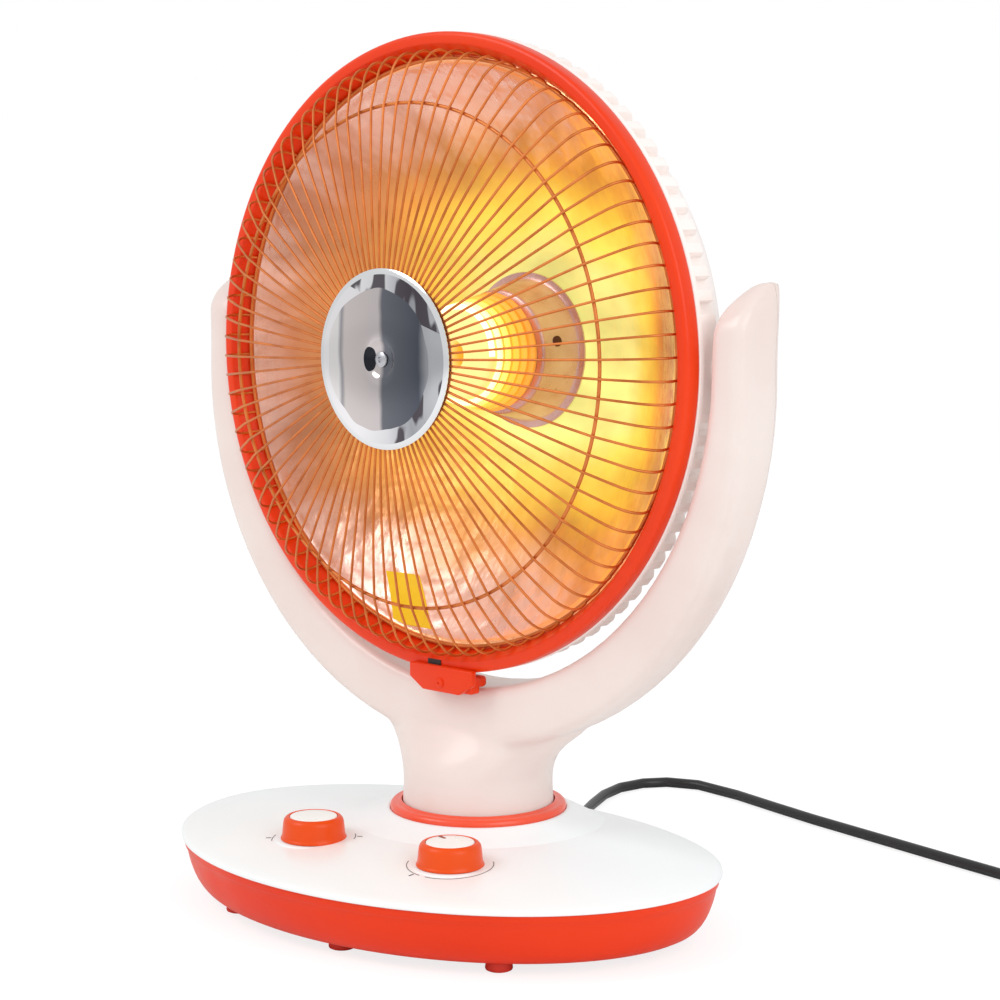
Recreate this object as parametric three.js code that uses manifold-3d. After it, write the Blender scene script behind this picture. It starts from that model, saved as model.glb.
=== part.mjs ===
// A parabolic heater: a dished reflector with a glowing element, held in a swivelling yoke
// on an oval base. Millimetres, +Z up, the front faces -Y, the floor is z = 0.
// The origin lies on the floor at the middle of the base's widest line.
import * as THREE from "three";
import { mergeVertices } from "three/addons/utils/BufferGeometryUtils.js";
import Module from "manifold-3d";

const wasm = await Module();
wasm.setup();

// ---------------------------------------------------------------- driving dimensions
const GAP = 0.3; // clearance between two pieces that touch
const RUNNING_GAP = 0.6; // clearance round a piece that turns or slides

// Base, an oval whose front half is deeper than its back half.
const BASE_HALF_LENGTH = 172;
const BASE_FRONT_DEPTH = 128;
const BASE_BACK_DEPTH = 107.7;
const FOOT_HEIGHT = 6; // the shell's underside above the floor
const SHELL_HEIGHT = 30.3;
const SHELL_WALL = 2.6;
const SHELL_FLOOR = 3;
const SHELL_RIM_INSET = 1.5; // the plate's overhang past the shell's rim
const SHELL_FOOT_INSET = 18; // how far the lower edge draws in
const OVAL_STEPS = 36;

const PLATE_EDGE = 3; // height of the top plate's rim
const PLATE_THICKNESS = 2.5;
const PLATE_DOME = 8; // rise of the plate from its rim to its middle
const PLATE_SEAT_RISE = 0.3; // the flat seat round the column
const PLATE_HOLE_RADIUS = 24;
const SEAT_RADIUS = 53;
const KNOB_PAD_RADIUS = 21;
const KNOB_PAD_DROP = 1.4; // the flat under each knob, below the plate's middle

const FOOT_RADIUS = 7.5;
const FOOT_PIN_RADIUS = 3;
const BALLAST_THICKNESS = 4;
const BALLAST_HALF_LENGTH = 105;
const BALLAST_HALF_DEPTH = 60;
const BALLAST_CENTRE_Y = -10;

const POST_RADIUS = 5.5;
const POST_HEIGHT = 14;
const SCREW_RADIUS = 1.6;
const SCREW_HEAD_RADIUS = 3.6;
const SCREW_HEAD_HEIGHT = 2.4;
const CASE_SCREW_LENGTH = 20;

// Column, collar and swivel.
const COLUMN_Y = 29.56; // the swivel axis, behind the wide line
const COLUMN_RADIUS = 44.5;
const COLLAR_WIDTH = 6.6;
const COLLAR_HEIGHT = 8.3;
const COLLAR_BEAD = 2.2; // radius of the rounded rim
const COLLAR_INNER_DROP = 1.8; // the inner edge below the rim's top
const REST_SWIVEL_DEG = 6.9; // the yoke is turned this far clockwise at rest
const BEARING_FLANGE_RADIUS = 32;
const BEARING_FLANGE_HEIGHT = 2;
const BEARING_WALL = 3.2;
const SPIGOT_WALL = 6;
const SLEEVE_DROP = 2.5; // the bearing sleeve's lower end below the plate
const COLUMN_WEB = 3;
const SWIVEL_DISC_THICKNESS = 4;
const DISC_SCREW_COUNT = 2;
const DISC_SCREW_LENGTH = 12;
const GEAR_MODULE = 1.25;
const SECTOR_TEETH_ROUND = 60; // teeth that a full circle of the sector would have
const SECTOR_TEETH = 22;
const PINION_TEETH = 12;
const GEAR_BACKLASH = 0.3;
const PINION_HEIGHT = 6;
const PINION_SHAFT_RADIUS = 2;
const MOTOR_RADIUS = 24;
const MOTOR_HEIGHT = 17;
const MOTOR_EAR_LENGTH = 74;
const MOTOR_EAR_WIDTH = 14;
const MOTOR_EAR_THICKNESS = 1.5;
const MOTOR_POST_RADIUS = 4;
const MOTOR_POST_SPREAD = 31;
const MOTOR_POST_HEIGHT = 12;

// Knobs and what they turn.
const KNOB_X = 48.4;
const KNOB_Y = -62.8;
const KNOB_SKIRT_RADIUS = 19.8;
const KNOB_RADIUS = 17.8;
const KNOB_SKIRT_HEIGHT = 1.6;
const KNOB_HEIGHT = 13;
const KNOB_TOP_RADIUS = 16.4;
const KNOB_CAP_RADIUS = 13.4;
const KNOB_CAP_THICKNESS = 1.4;
const KNOB_SHAFT_RADIUS = 3;
const KNOB_SHAFT_GRIP = 8; // length of shaft inside the knob
const TIMER_BODY_WIDTH = 42;
const TIMER_BODY_DEPTH = 38;
const TIMER_BODY_HEIGHT = 22;
const SWITCH_BODY_WIDTH = 30;
const SWITCH_BODY_HEIGHT = 18;
const SWITCH_NECK_RADIUS = 8;
const SWITCH_NECK_HEIGHT = 1.6;
const SWITCH_CORNER = 3;

// Tip-over switch.
const TIP_X = 78;
const TIP_Y = 14;
const TIP_BODY_WIDTH = 24;
const TIP_BODY_HEIGHT = 22;
const PLUNGER_RADIUS = 3.2;
const PLUNGER_FOOT_RADIUS = 5;
const PLUNGER_FOOT_HEIGHT = 3.4;
const PLUNGER_LENGTH = 22;

// Yoke: two arms that follow a circle about the tilt pivot, and a flared neck.
const RING_RADIUS = 180; // the head's front ring, which the casing, dish, guard and yoke follow
const PIVOT_HEIGHT = 319;
const YOKE_INNER_RADIUS = RING_RADIUS + 6;
const YOKE_BOTTOM_DROP = 4; // extra room under the head at the bottom of the yoke
const YOKE_THICKNESS = 21; // at the pivots
const YOKE_BOTTOM_THICKENING = 18; // further out at the bottom
const YOKE_FRONT = -26; // the arms' front face, from the pivots
const YOKE_BACK = 17;
const YOKE_WALL = 2.6;
const YOKE_TIP_ANGLE_DEG = 12.7; // the arms' tips above the pivots
const YOKE_TIP_START_DEG = 5.4; // where the tips begin to draw in
const YOKE_TIP_BACK = 2; // where the tips end, behind the pivots
const YOKE_TIP_FLARE = 6.8; // how far the tips lean outwards, from the pivots up
const YOKE_TIP_THINNING = 0.45; // share of the thickness lost at the very tip
const YOKE_SEAM_Y = 5; // the back cover begins here
const YOKE_SEAM_HEIGHT = 40; // and this far up the neck
// Across an arm: share of its thickness from the inside, and share of its depth from the front.
const YOKE_SECTION = [
  [0, 0.1],
  [0.2, 0],
  [0.8, 0],
  [1, 0.16],
  [1, 0.64],
  [0.75, 0.88],
  [0.3, 1],
  [0, 1],
];
const NECK_STEPS = 22;
const NECK_RISE = 45.5; // height in the list below that lies level with the yoke's lowest point
// The neck from its foot up: height, half length, half depth.
const NECK_SECTIONS = [
  [6.5, 44.5, 44.5],
  [21.5, 43.2, 43.2],
  [36.5, 44.5, 39],
  [NECK_RISE, 49, 32.5],
  [51.5, 56, 28],
  [55.5, 62, 25],
  [59.5, 70, 22],
];

// Tilt pivots.
const PIVOT_BOLT_RADIUS = 3;
const PIVOT_HEAD_RADIUS = 6;
const PIVOT_HEAD_HEIGHT = 4;
const BUSH_RADIUS = 13;
const BUSH_THICKNESS = 4.4;
const BOSS_RADIUS = 14;
const BOSS_LENGTH = 16;

// Head: radii about its axis, and distances ahead of the tilt pivot.
const RING_FRONT = 35.2;
const RING_DEPTH = 10;
const RING_LIP = 6.8; // width of the ring's front face
const RING_WALL = 1.8;
const RING_INNER_SLOPE = 6.4; // how far the inner wall closes in towards the back
const REFLECTOR_RADIUS = RING_RADIUS - 15;
const REFLECTOR_RIM = 24.2;
const REFLECTOR_SHEET = 0.8;
const REFLECTOR_FLANGE = 8.6;
const REFLECTOR_BEAD = 1.6;
const REFLECTOR_APERTURE = 40;
const REFLECTOR_DEPTH = 73.2; // from the rim's plane to the dish's vertex
const CASING_WALL = 2.2;
const CASING_LEDGE = 4;
const CASING_RIM_PLAY = 1; // round the reflector's flange
const CASING_RIM_RADIUS = RING_RADIUS + 0.3;
const CASING_RIM_THICKNESS = 3.4;
const CASING_SHOULDER_RADIUS = RING_RADIUS - 1;
const CASING_FIN_FLOOR = RING_RADIUS - 9; // radius of the wall between the fins
const CASING_DEPTH = 88; // behind the pivot
const CASING_BACK_RADIUS = 70;
const FIN_COUNT = 88;
const FIN_GAP_WIDTH = 6.9;
const FIN_BACK = 8;
const FIN_FREE_DEG = 9; // no gaps this near a pivot
const REAR_VENT_COUNT = 12;
const REAR_VENT_WIDTH = 4;
const HEAD_STEPS = 36;
const CASING_STEPS = 44; // half the fins, so each facet holds two of them
const HOOP_STEPS = 44; // half the wires

// Wire guard.
const WIRE_COUNT = 88;
const WIRE_RADIUS = 0.9;
const WIRE_SIDES = 3;
const GUARD_HOOP_HALF = 1.4;
const GUARD_RIM_RADIUS = REFLECTOR_RADIUS - 0.6;
const GUARD_BULGE_RADIUS = RING_RADIUS - 9.7;
const GUARD_BULGE = 40;
const GUARD_SUPPORT_RADIUS = RING_RADIUS - 39.7;
const GUARD_SUPPORT = 60;
const GUARD_HUB_RADIUS = 44;
const GUARD_HUB = 73.9;
const CAP_RADIUS = 50;
const CAP_HEIGHT = 3.4;
const CAP_DIMPLE_RADIUS = 12;
const CAP_DIMPLE = 1.6;
const BACK_PLATE_RADIUS = 48;
const BACK_PLATE_THICKNESS = 1.5;
const CAP_SCREW_RADIUS = 2.2;
const CAP_SCREW_HEAD_RADIUS = 4.4;
const CAP_SCREW_HEAD_HEIGHT = 2;

// Ring clip under the ring.
const CLIP_OFFSET_X = 7.5;
const CLIP_HALF_WIDTH = 24.5;
const CLIP_DROP = 11; // below the ring's rim, ahead of the yoke
const CLIP_REAR_DROP = 5.4; // below the ring's rim, over the yoke
const CLIP_LAP = 3.8; // up the ring's front face
const CLIP_FRONT_PLATE = 4.5;
const CLIP_STEP = 28.4; // the rear part is behind this
const CLIP_BACK = 22;
const CLIP_CHAMFER = 6.5;
const CLIP_SCREW_RADIUS = 1.6;

// Element, on the head's axis.
const CERAMIC_FRONT_RADIUS = 24.4;
const CERAMIC_BACK_RADIUS = 31.8;
const CERAMIC_STAND = 33; // the cone's back ahead of the dish's vertex
const CERAMIC_LENGTH = 36;
const CERAMIC_BORE_RADIUS = 9;
const CERAMIC_STEM_RADIUS = 26;
const STEM_LENGTH = 6;
const WINDING_TURNS = 5.5;
const WINDING_PITCH = 5.5;
const WINDING_RADIUS = 1.7;
const WINDING_STEPS = 24;
const WINDING_SIDES = 6;
const CUP_FLANGE_RADIUS = 45.7;
const CUP_RADIUS = 41;
const CUP_FRONT_RADIUS = 35.8;
const CUP_THICKNESS = 1.4;
const WINDING_FRONT_EDGE = 1.2; // bare ceramic ahead of the first turn
const INSULATOR_RADIUS = 33;
const TERMINAL_WIDTH = 6;
const TERMINAL_THICKNESS = 1.2;
const TERMINAL_LENGTH = 27;
const TERMINAL_SPREAD = 14;
const BRACKET_WIDTH = 46;
const BRACKET_LENGTH = 96;
const BRACKET_THICKNESS = 2;
const TIE_ROD_RADIUS = 2;
const TIE_ROD_SPREAD = 41;

// Mains cord.
const CORD_DIAMETER = 6.8;
const CORD_SIDES = 8;
const GLAND_X = -30;
const GLAND_HEIGHT = 16; // the cord's centre above the floor where it leaves
const GLAND_RADIUS = 6.4;
const GLAND_TIP_RADIUS = 4.8;
const GLAND_LENGTH = 26;
const GLAND_COLLAR_RADIUS = 9;
const GLAND_COLLAR_THICKNESS = 2;
const GLAND_COLLAR_SEAT = 3; // the collar's seat behind the wall's outer face
const CORD_REST_HEIGHT = CORD_DIAMETER / 2 + 0.1;
// Route of the free stretch after the gland, chosen by hand along the floor.
const CORD_ROUTE = [
  [-32, 155, 12],
  [-35, 172, 7.5],
  [-40, 190, 4.4],
  [-46, 210, CORD_REST_HEIGHT],
  [-55, 235, CORD_REST_HEIGHT],
  [-63, 262, CORD_REST_HEIGHT],
  [-65, 285, CORD_REST_HEIGHT],
  [-59, 305, CORD_REST_HEIGHT],
  [-47, 318, CORD_REST_HEIGHT],
  [-25, 324, CORD_REST_HEIGHT],
  [12, 314, CORD_REST_HEIGHT],
  [50, 299, CORD_REST_HEIGHT],
  [85, 286, CORD_REST_HEIGHT],
  [125, 273, CORD_REST_HEIGHT],
  [165, 260, CORD_REST_HEIGHT],
  [205, 247, CORD_REST_HEIGHT],
  [240, 236, CORD_REST_HEIGHT],
];
const CORD_STEPS = 36;
const COIL_X = 288;
const COIL_Y = 272;
const COIL_OUTER_RADIUS = 47; // to the middle of the cord
const COIL_TURNS_PER_LAYER = 2.1;
const COIL_TURN_PITCH = 7.5;
const COIL_LAYER_PITCH = 7.4;
const COIL_STEPS = 24;
const COIL_SIDES = 6;
const COIL_START_DEG = 254; // where the cord runs into the coil
const PLUG_LENGTH = 34;
const PLUG_WIDTH = 28;
const PLUG_HEIGHT = 21.6;
const PLUG_NECK_LENGTH = 26;
const PLUG_NECK_RADIUS = 5.4;
const PIN_RADIUS = 2;
const PIN_LENGTH = 19;
const PIN_SPREAD = 9.5;

// ---------------------------------------------------------------- materials
const finish = (color, roughness, metalness) =>
  new THREE.MeshStandardMaterial({ color, roughness, metalness });
const WHITE_PLASTIC = finish(0xf4f0ec, 0.4, 0);
const ORANGE_PLASTIC = finish(0xf2482a, 0.35, 0);
const BLACK_RUBBER = finish(0x1c1c1e, 0.6, 0);
const DARK_PLASTIC = finish(0x3a3634, 0.6, 0);
const BROWN_FIBRE = finish(0xa87c6a, 0.7, 0);
const STEEL = finish(0xb8b8bc, 0.4, 0.9);
const CHROME = finish(0xe6e6ea, 0.15, 1);
const POLISHED_ALUMINIUM = finish(0xe2c8b4, 0.2, 1);
const COPPER_WIRE = finish(0xb5683a, 0.35, 0.9);
const CUP_METAL = finish(0xd8a594, 0.3, 1);
const CERAMIC = finish(0xf3e6d2, 0.8, 0);
const GLOWING_WIRE = finish(0xffb060, 0.6, 0.4);
const BRASS = finish(0xc8a24a, 0.35, 1);
const FEET_RUBBER = finish(0xc23a24, 0.8, 0);

// ---------------------------------------------------------------- geometry helpers
const TAU = 2 * Math.PI;
const FLAT_ENOUGH = 0.02; // corners that stand out by less than this are dropped
const rad = THREE.MathUtils.degToRad;
const lerp = THREE.MathUtils.lerp;
const smooth = THREE.MathUtils.smoothstep;

// The geometry with shared vertices merged and faces without area dropped.
function clean(geometry) {
  const bare = geometry.index ? geometry.toNonIndexed() : geometry.clone();
  bare.deleteAttribute("normal");
  bare.deleteAttribute("uv");
  const merged = mergeVertices(bare, 1e-4);
  const kept = [];
  const index = merged.index.array;
  for (let i = 0; i < index.length; i += 3) {
    const [a, b, c] = [index[i], index[i + 1], index[i + 2]];
    if (a !== b && b !== c && c !== a) kept.push(a, b, c);
  }
  return new THREE.BufferGeometry()
    .setAttribute("position", merged.getAttribute("position"))
    .setIndex(kept);
}

function solidOf(geometry) {
  const tidy = clean(geometry);
  const made = new wasm.Manifold(
    new wasm.Mesh({
      numProp: 3,
      vertProperties: tidy.getAttribute("position").array,
      triVerts: new Uint32Array(tidy.index.array),
    }),
  );
  if (made.volume() >= 0) return made;
  const turned = tidy.index.array.slice();
  for (let i = 0; i < turned.length; i += 3) {
    [turned[i + 1], turned[i + 2]] = [turned[i + 2], turned[i + 1]];
  }
  return new wasm.Manifold(
    new wasm.Mesh({
      numProp: 3,
      vertProperties: tidy.getAttribute("position").array,
      triVerts: new Uint32Array(turned),
    }),
  );
}

function geometryOf(solid) {
  const mesh = solid.asOriginal().simplify(FLAT_ENOUGH).getMesh();
  const position = new Float32Array(mesh.numVert * 3);
  for (let i = 0; i < mesh.numVert; i++) {
    const at = i * mesh.numProp;
    position.set(mesh.vertProperties.subarray(at, at + 3), i * 3);
  }
  return new THREE.BufferGeometry()
    .setAttribute("position", new THREE.BufferAttribute(position, 3))
    .setIndex(new THREE.BufferAttribute(mesh.triVerts, 1));
}

const facingOut = (geometry) => geometryOf(solidOf(geometry));
const join = (...pieces) => geometryOf(pieces.map(solidOf).reduce((a, b) => a.add(b)));
const cut = (piece, ...tools) =>
  geometryOf(tools.map(solidOf).reduce((a, b) => a.subtract(b), solidOf(piece)));
const common = (a, b) => geometryOf(solidOf(a).intersect(solidOf(b)));

// Rings of equal count joined in order; closed joins the last to the first, else both get caps.
function loft(rings, closed = false) {
  const count = rings[0].length;
  const points = rings.flat();
  const faces = [];
  const spans = closed ? rings.length : rings.length - 1;
  for (let i = 0; i < spans; i++) {
    const low = i * count;
    const high = ((i + 1) % rings.length) * count;
    for (let j = 0; j < count; j++) {
      const k = (j + 1) % count;
      faces.push(low + j, low + k, high + k, low + j, high + k, high + j);
    }
  }
  if (!closed) {
    for (const [start, turn] of [
      [0, 1],
      [(rings.length - 1) * count, 0],
    ]) {
      const middle = points.length;
      const ring = points.slice(start, start + count);
      points.push([0, 1, 2].map((c) => ring.reduce((s, p) => s + p[c], 0) / count));
      for (let j = 0; j < count; j++) {
        const k = (j + 1) % count;
        faces.push(middle, start + (turn ? k : j), start + (turn ? j : k));
      }
    }
  }
  const geometry = new THREE.BufferGeometry()
    .setAttribute("position", new THREE.Float32BufferAttribute(points.flat(), 3))
    .setIndex(faces);
  return facingOut(geometry);
}

// A profile of [radius, height] pairs turned about Z. It starts and ends on the axis or closes.
function turned(profile, steps = HEAD_STEPS) {
  const ends = [profile[0], profile[profile.length - 1]];
  const onAxis = ends.every(([r]) => r === 0);
  const outline = onAxis ? profile : [...profile, profile[0]];
  const points = outline.map(([r, h]) => new THREE.Vector2(r, h));
  return facingOut(new THREE.LatheGeometry(points, steps).rotateX(Math.PI / 2));
}

const washer = (outer, inner, low, high, steps = 24) =>
  turned(
    [
      [inner, low],
      [outer, low],
      [outer, high],
      [inner, high],
    ],
    steps,
  );

// A cylinder along Z between two heights.
function rod(radius, low, high, steps = 14, topRadius = radius) {
  return new THREE.CylinderGeometry(topRadius, radius, high - low, steps)
    .rotateX(Math.PI / 2)
    .translate(0, 0, (low + high) / 2);
}

// A box from its low corner to its high corner.
function block(low, high) {
  const size = high.map((v, i) => v - low[i]);
  return new THREE.BoxGeometry(...size).translate(...low.map((v, i) => v + size[i] / 2));
}

// A flat outline of [x, y] pairs raised along Z.
function raised(outline, low, high, holes = []) {
  const shape = new THREE.Shape(outline.map(([x, y]) => new THREE.Vector2(x, y)));
  holes.forEach((h) => shape.holes.push(new THREE.Path().absarc(h.x, h.y, h.r, 0, TAU, true)));
  const options = { depth: high - low, bevelEnabled: false, curveSegments: 6 };
  return facingOut(new THREE.ExtrudeGeometry(shape, options).translate(0, 0, low));
}

// A round tube along points, with parallel sections; square ends.
function tube(points, radius, sides, closed = false) {
  const rings = [];
  const count = points.length;
  const at = (i) => (closed ? points[(i + count) % count] : points[Math.min(Math.max(i, 0), count - 1)]);
  let normal = null;
  for (let i = 0; i < count; i++) {
    const along = at(i + 1).clone().sub(at(i - 1)).normalize();
    if (!normal) {
      const up = Math.abs(along.z) > 0.9 ? new THREE.Vector3(1, 0, 0) : new THREE.Vector3(0, 0, 1);
      normal = up.clone().addScaledVector(along, -up.dot(along)).normalize();
    }
    normal.addScaledVector(along, -normal.dot(along)).normalize();
    const side = new THREE.Vector3().crossVectors(along, normal);
    rings.push(
      Array.from({ length: sides }, (_, j) => {
        const angle = (TAU * (j + 0.5)) / sides;
        return points[i]
          .clone()
          .addScaledVector(normal, radius * Math.cos(angle))
          .addScaledVector(side, radius * Math.sin(angle))
          .toArray();
      }),
    );
  }
  return loft(rings, closed);
}

// The least gap between the turns of a wound tube, measured on its points.
function leastGap(points, diameter) {
  const length = [0];
  for (let i = 1; i < points.length; i++) {
    length.push(length[i - 1] + points[i].distanceTo(points[i - 1]));
  }
  let least = Infinity;
  for (let i = 0; i < points.length; i++) {
    for (let j = i + 1; j < points.length; j++) {
      if (length[j] - length[i] < 3 * diameter) continue;
      least = Math.min(least, points[i].distanceTo(points[j]));
    }
  }
  return least - diameter;
}

const polar = (radius, angle, z = 0) =>
  new THREE.Vector3(radius * Math.cos(angle), radius * Math.sin(angle), z);

// Adds a straight lead at each end of a wound path.
function addLeads(points, length) {
  const beyond = (end, before) =>
    end.clone().addScaledVector(end.clone().sub(before).normalize(), length);
  const last = points.length - 1;
  return [beyond(points[0], points[1]), ...points, beyond(points[last], points[last - 1])];
}

function add(group, name, geometry, material) {
  const mesh = new THREE.Mesh(geometry, material);
  mesh.name = name;
  group.add(mesh);
  return mesh;
}

// ---------------------------------------------------------------- base
const SHELL_RIM_Z = FOOT_HEIGHT + SHELL_HEIGHT;
const PLATE_LOW_Z = SHELL_RIM_Z + GAP;
const PLATE_EDGE_Z = PLATE_LOW_Z + PLATE_EDGE;
const SEAT_Z = PLATE_EDGE_Z + PLATE_DOME + PLATE_SEAT_RISE;
const INNER_FLOOR_Z = FOOT_HEIGHT + SHELL_FLOOR;

// A point of the base's oval, drawn in by inset.
function ovalPoint(angle, inset) {
  const depth = Math.sin(angle) > 0 ? BASE_BACK_DEPTH : BASE_FRONT_DEPTH;
  return [
    (BASE_HALF_LENGTH - inset) * Math.cos(angle),
    (depth - inset) * Math.sin(angle),
  ];
}

const ovalRing = (inset, z) =>
  Array.from({ length: OVAL_STEPS }, (_, i) => [...ovalPoint((TAU * i) / OVAL_STEPS, inset), z]);

// How far the shell's outside is drawn in at a share of its height.
const shellInset = (share) =>
  SHELL_RIM_INSET + (SHELL_FOOT_INSET - SHELL_RIM_INSET) * Math.pow(1 - Math.sqrt(share), 1.4);

// Height of the top plate's upper face.
function plateTop(x, y) {
  const fromColumn = Math.hypot(x, y - COLUMN_Y);
  if (fromColumn < SEAT_RADIUS + 0.5) return SEAT_Z;
  const depth = y > 0 ? BASE_BACK_DEPTH : BASE_FRONT_DEPTH;
  const share = Math.hypot(x / BASE_HALF_LENGTH, y / depth);
  return PLATE_EDGE_Z + PLATE_DOME * (1 - Math.pow(Math.min(share, 1), 4));
}

// One ring of the plate, from a circle round the column out to the oval.
function plateRing(share, inset, drop, fixedZ = null) {
  return Array.from({ length: OVAL_STEPS }, (_, i) => {
    const angle = (TAU * i) / OVAL_STEPS;
    const outer = ovalPoint(angle, inset);
    const heading = Math.atan2(outer[1] - COLUMN_Y, outer[0]);
    const start = share < 0 ? PLATE_HOLE_RADIUS : SEAT_RADIUS;
    const inner = polar(start, heading);
    const x = lerp(inner.x, outer[0], Math.max(share, 0));
    const y = lerp(inner.y + COLUMN_Y, outer[1], Math.max(share, 0));
    return [x, y, (fixedZ ?? plateTop(x, y)) - drop];
  });
}

const SCREW_POSTS = [
  [-112, -38],
  [112, -38],
  [-112, 52],
  [112, 52],
];
const FOOT_PLACES = [
  [-92, -78],
  [0, -97],
  [92, -78],
  [84, 66],
  [-84, 66],
];
const MOTOR_Y = COLUMN_Y - (GEAR_MODULE * (SECTOR_TEETH_ROUND + PINION_TEETH)) / 2;
const MOTOR_POSTS = [
  [-MOTOR_POST_SPREAD, MOTOR_Y],
  [MOTOR_POST_SPREAD, MOTOR_Y],
];
const POST_TOP_Z = INNER_FLOOR_Z + POST_HEIGHT;
const MOTOR_POST_TOP_Z = INNER_FLOOR_Z + MOTOR_POST_HEIGHT;
const KNOB_PAD_Z = PLATE_EDGE_Z + PLATE_DOME - KNOB_PAD_DROP;
const GLAND_WALL_Y = ovalPoint(Math.acos(GLAND_X / BASE_HALF_LENGTH), shellInset(0.33))[1];

function baseShell() {
  const shares = [0, 0.06, 0.2, 0.46, 1];
  const outside = shares.map((s) => ovalRing(shellInset(s), FOOT_HEIGHT + SHELL_HEIGHT * s));
  const floorShare = SHELL_FLOOR / SHELL_HEIGHT;
  const inside = [1, 0.4, floorShare].map((s) =>
    ovalRing(shellInset(s) + SHELL_WALL, FOOT_HEIGHT + SHELL_HEIGHT * s),
  );
  const posts = SCREW_POSTS.map(([x, y]) =>
    rod(POST_RADIUS, INNER_FLOOR_Z - 1, POST_TOP_Z, 12).translate(x, y, 0),
  );
  const motorPosts = MOTOR_POSTS.map(([x, y]) =>
    rod(MOTOR_POST_RADIUS, INNER_FLOOR_Z - 1, MOTOR_POST_TOP_Z, 12).translate(x, y, 0),
  );
  const bores = SCREW_POSTS.map(([x, y]) =>
    rod(SCREW_RADIUS + GAP, 0, POST_TOP_Z + 1, 8).translate(x, y, 0),
  );
  const counterbores = SCREW_POSTS.map(([x, y]) =>
    rod(SCREW_HEAD_RADIUS + GAP, 0, INNER_FLOOR_Z + SCREW_HEAD_HEIGHT, 12).translate(x, y, 0),
  );
  const footHoles = FOOT_PLACES.map(([x, y]) =>
    rod(FOOT_PIN_RADIUS + GAP, 0, INNER_FLOOR_Z + 1, 8).translate(x, y, 0),
  );
  const plungerHole = rod(PLUNGER_FOOT_RADIUS + RUNNING_GAP, 0, INNER_FLOOR_Z + 1, 12);
  const glandHole = rod(GLAND_RADIUS + GAP, -20, 20, 12).rotateX(-Math.PI / 2);
  const glandSeat = rod(GLAND_COLLAR_RADIUS + GAP, -20, -GLAND_COLLAR_SEAT, 12).rotateX(-Math.PI / 2);
  return cut(
    join(loft([...outside, ...inside]), ...posts, ...motorPosts),
    ...bores,
    ...counterbores,
    ...footHoles,
    plungerHole.translate(TIP_X, TIP_Y, 0),
    glandHole.translate(GLAND_X, GLAND_WALL_Y, GLAND_HEIGHT),
    glandSeat.translate(GLAND_X, GLAND_WALL_Y, GLAND_HEIGHT),
  );
}

function topPlate() {
  const upper = [
    plateRing(-1, 0, 0, SEAT_Z),
    plateRing(0, 0, 0, SEAT_Z),
    plateRing(0.05, 0, 0),
    plateRing(0.35, 0, 0),
    plateRing(0.65, 0, 0),
    plateRing(0.88, 0, 0),
    plateRing(1, 1, 0, PLATE_EDGE_Z),
    plateRing(1, 0, 0.9, PLATE_EDGE_Z),
  ];
  const lower = [
    plateRing(1, 0, 0, PLATE_LOW_Z),
    plateRing(1, SHELL_RIM_INSET + 2, 0, PLATE_LOW_Z),
    plateRing(0.88, 0, PLATE_THICKNESS),
    plateRing(0.65, 0, PLATE_THICKNESS),
    plateRing(0.35, 0, PLATE_THICKNESS),
    plateRing(0, 0, PLATE_THICKNESS, SEAT_Z),
    plateRing(-1, 0, PLATE_THICKNESS, SEAT_Z),
  ];
  const bossLow = POST_TOP_Z + GAP;
  const bosses = SCREW_POSTS.map(([x, y]) =>
    rod(POST_RADIUS - 1, bossLow, plateTop(x, y) - PLATE_THICKNESS / 2, 12).translate(x, y, 0),
  );
  const holes = SCREW_POSTS.map(([x, y]) =>
    rod(SCREW_RADIUS + GAP, 0, INNER_FLOOR_Z + CASE_SCREW_LENGTH + 4, 8).translate(x, y, 0),
  );
  const shaftHoles = [-KNOB_X, KNOB_X].map((x) =>
    rod(KNOB_SHAFT_RADIUS + RUNNING_GAP, PLATE_LOW_Z - 10, SEAT_Z + 10, 16).translate(x, KNOB_Y, 0),
  );
  const pads = [-KNOB_X, KNOB_X].map((x) =>
    rod(KNOB_PAD_RADIUS, KNOB_PAD_Z - PLATE_THICKNESS, KNOB_PAD_Z, 20).translate(x, KNOB_Y, 0),
  );
  const flats = [-KNOB_X, KNOB_X].map((x) =>
    rod(KNOB_PAD_RADIUS, KNOB_PAD_Z, SEAT_Z + 10, 20).translate(x, KNOB_Y, 0),
  );
  const plate = join(loft([...upper, ...lower], true), ...bosses, ...pads);
  return cut(plate, ...holes, ...shaftHoles, ...flats);
}

function footPad() {
  const top = FOOT_HEIGHT - GAP;
  return join(
    rod(FOOT_RADIUS, 0, top, 12, FOOT_RADIUS - 0.8),
    rod(FOOT_PIN_RADIUS, top - 0.5, INNER_FLOOR_Z + 0.5, 6),
  );
}

function caseScrew() {
  const headLow = FOOT_HEIGHT + 0.6;
  const headTop = INNER_FLOOR_Z + SCREW_HEAD_HEIGHT - GAP;
  return join(
    rod(SCREW_HEAD_RADIUS, headLow, headTop, 12),
    rod(SCREW_RADIUS, headTop - 0.5, INNER_FLOOR_Z + CASE_SCREW_LENGTH, 8),
  );
}

function ballastPlate() {
  const low = INNER_FLOOR_Z + GAP;
  const high = low + BALLAST_THICKNESS;
  const outline = Array.from({ length: 24 }, (_, i) => {
    const angle = (TAU * i) / 24;
    return [
      BALLAST_HALF_LENGTH * Math.cos(angle),
      BALLAST_CENTRE_Y + BALLAST_HALF_DEPTH * Math.sin(angle),
    ];
  });
  const holes = [
    ...MOTOR_POSTS.map(([x, y]) => ({ x, y, r: MOTOR_POST_RADIUS + GAP + 0.5 })),
    { x: TIP_X, y: TIP_Y, r: PLUNGER_FOOT_RADIUS + RUNNING_GAP },
  ];
  return raised(outline, low, high, holes);
}

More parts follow.
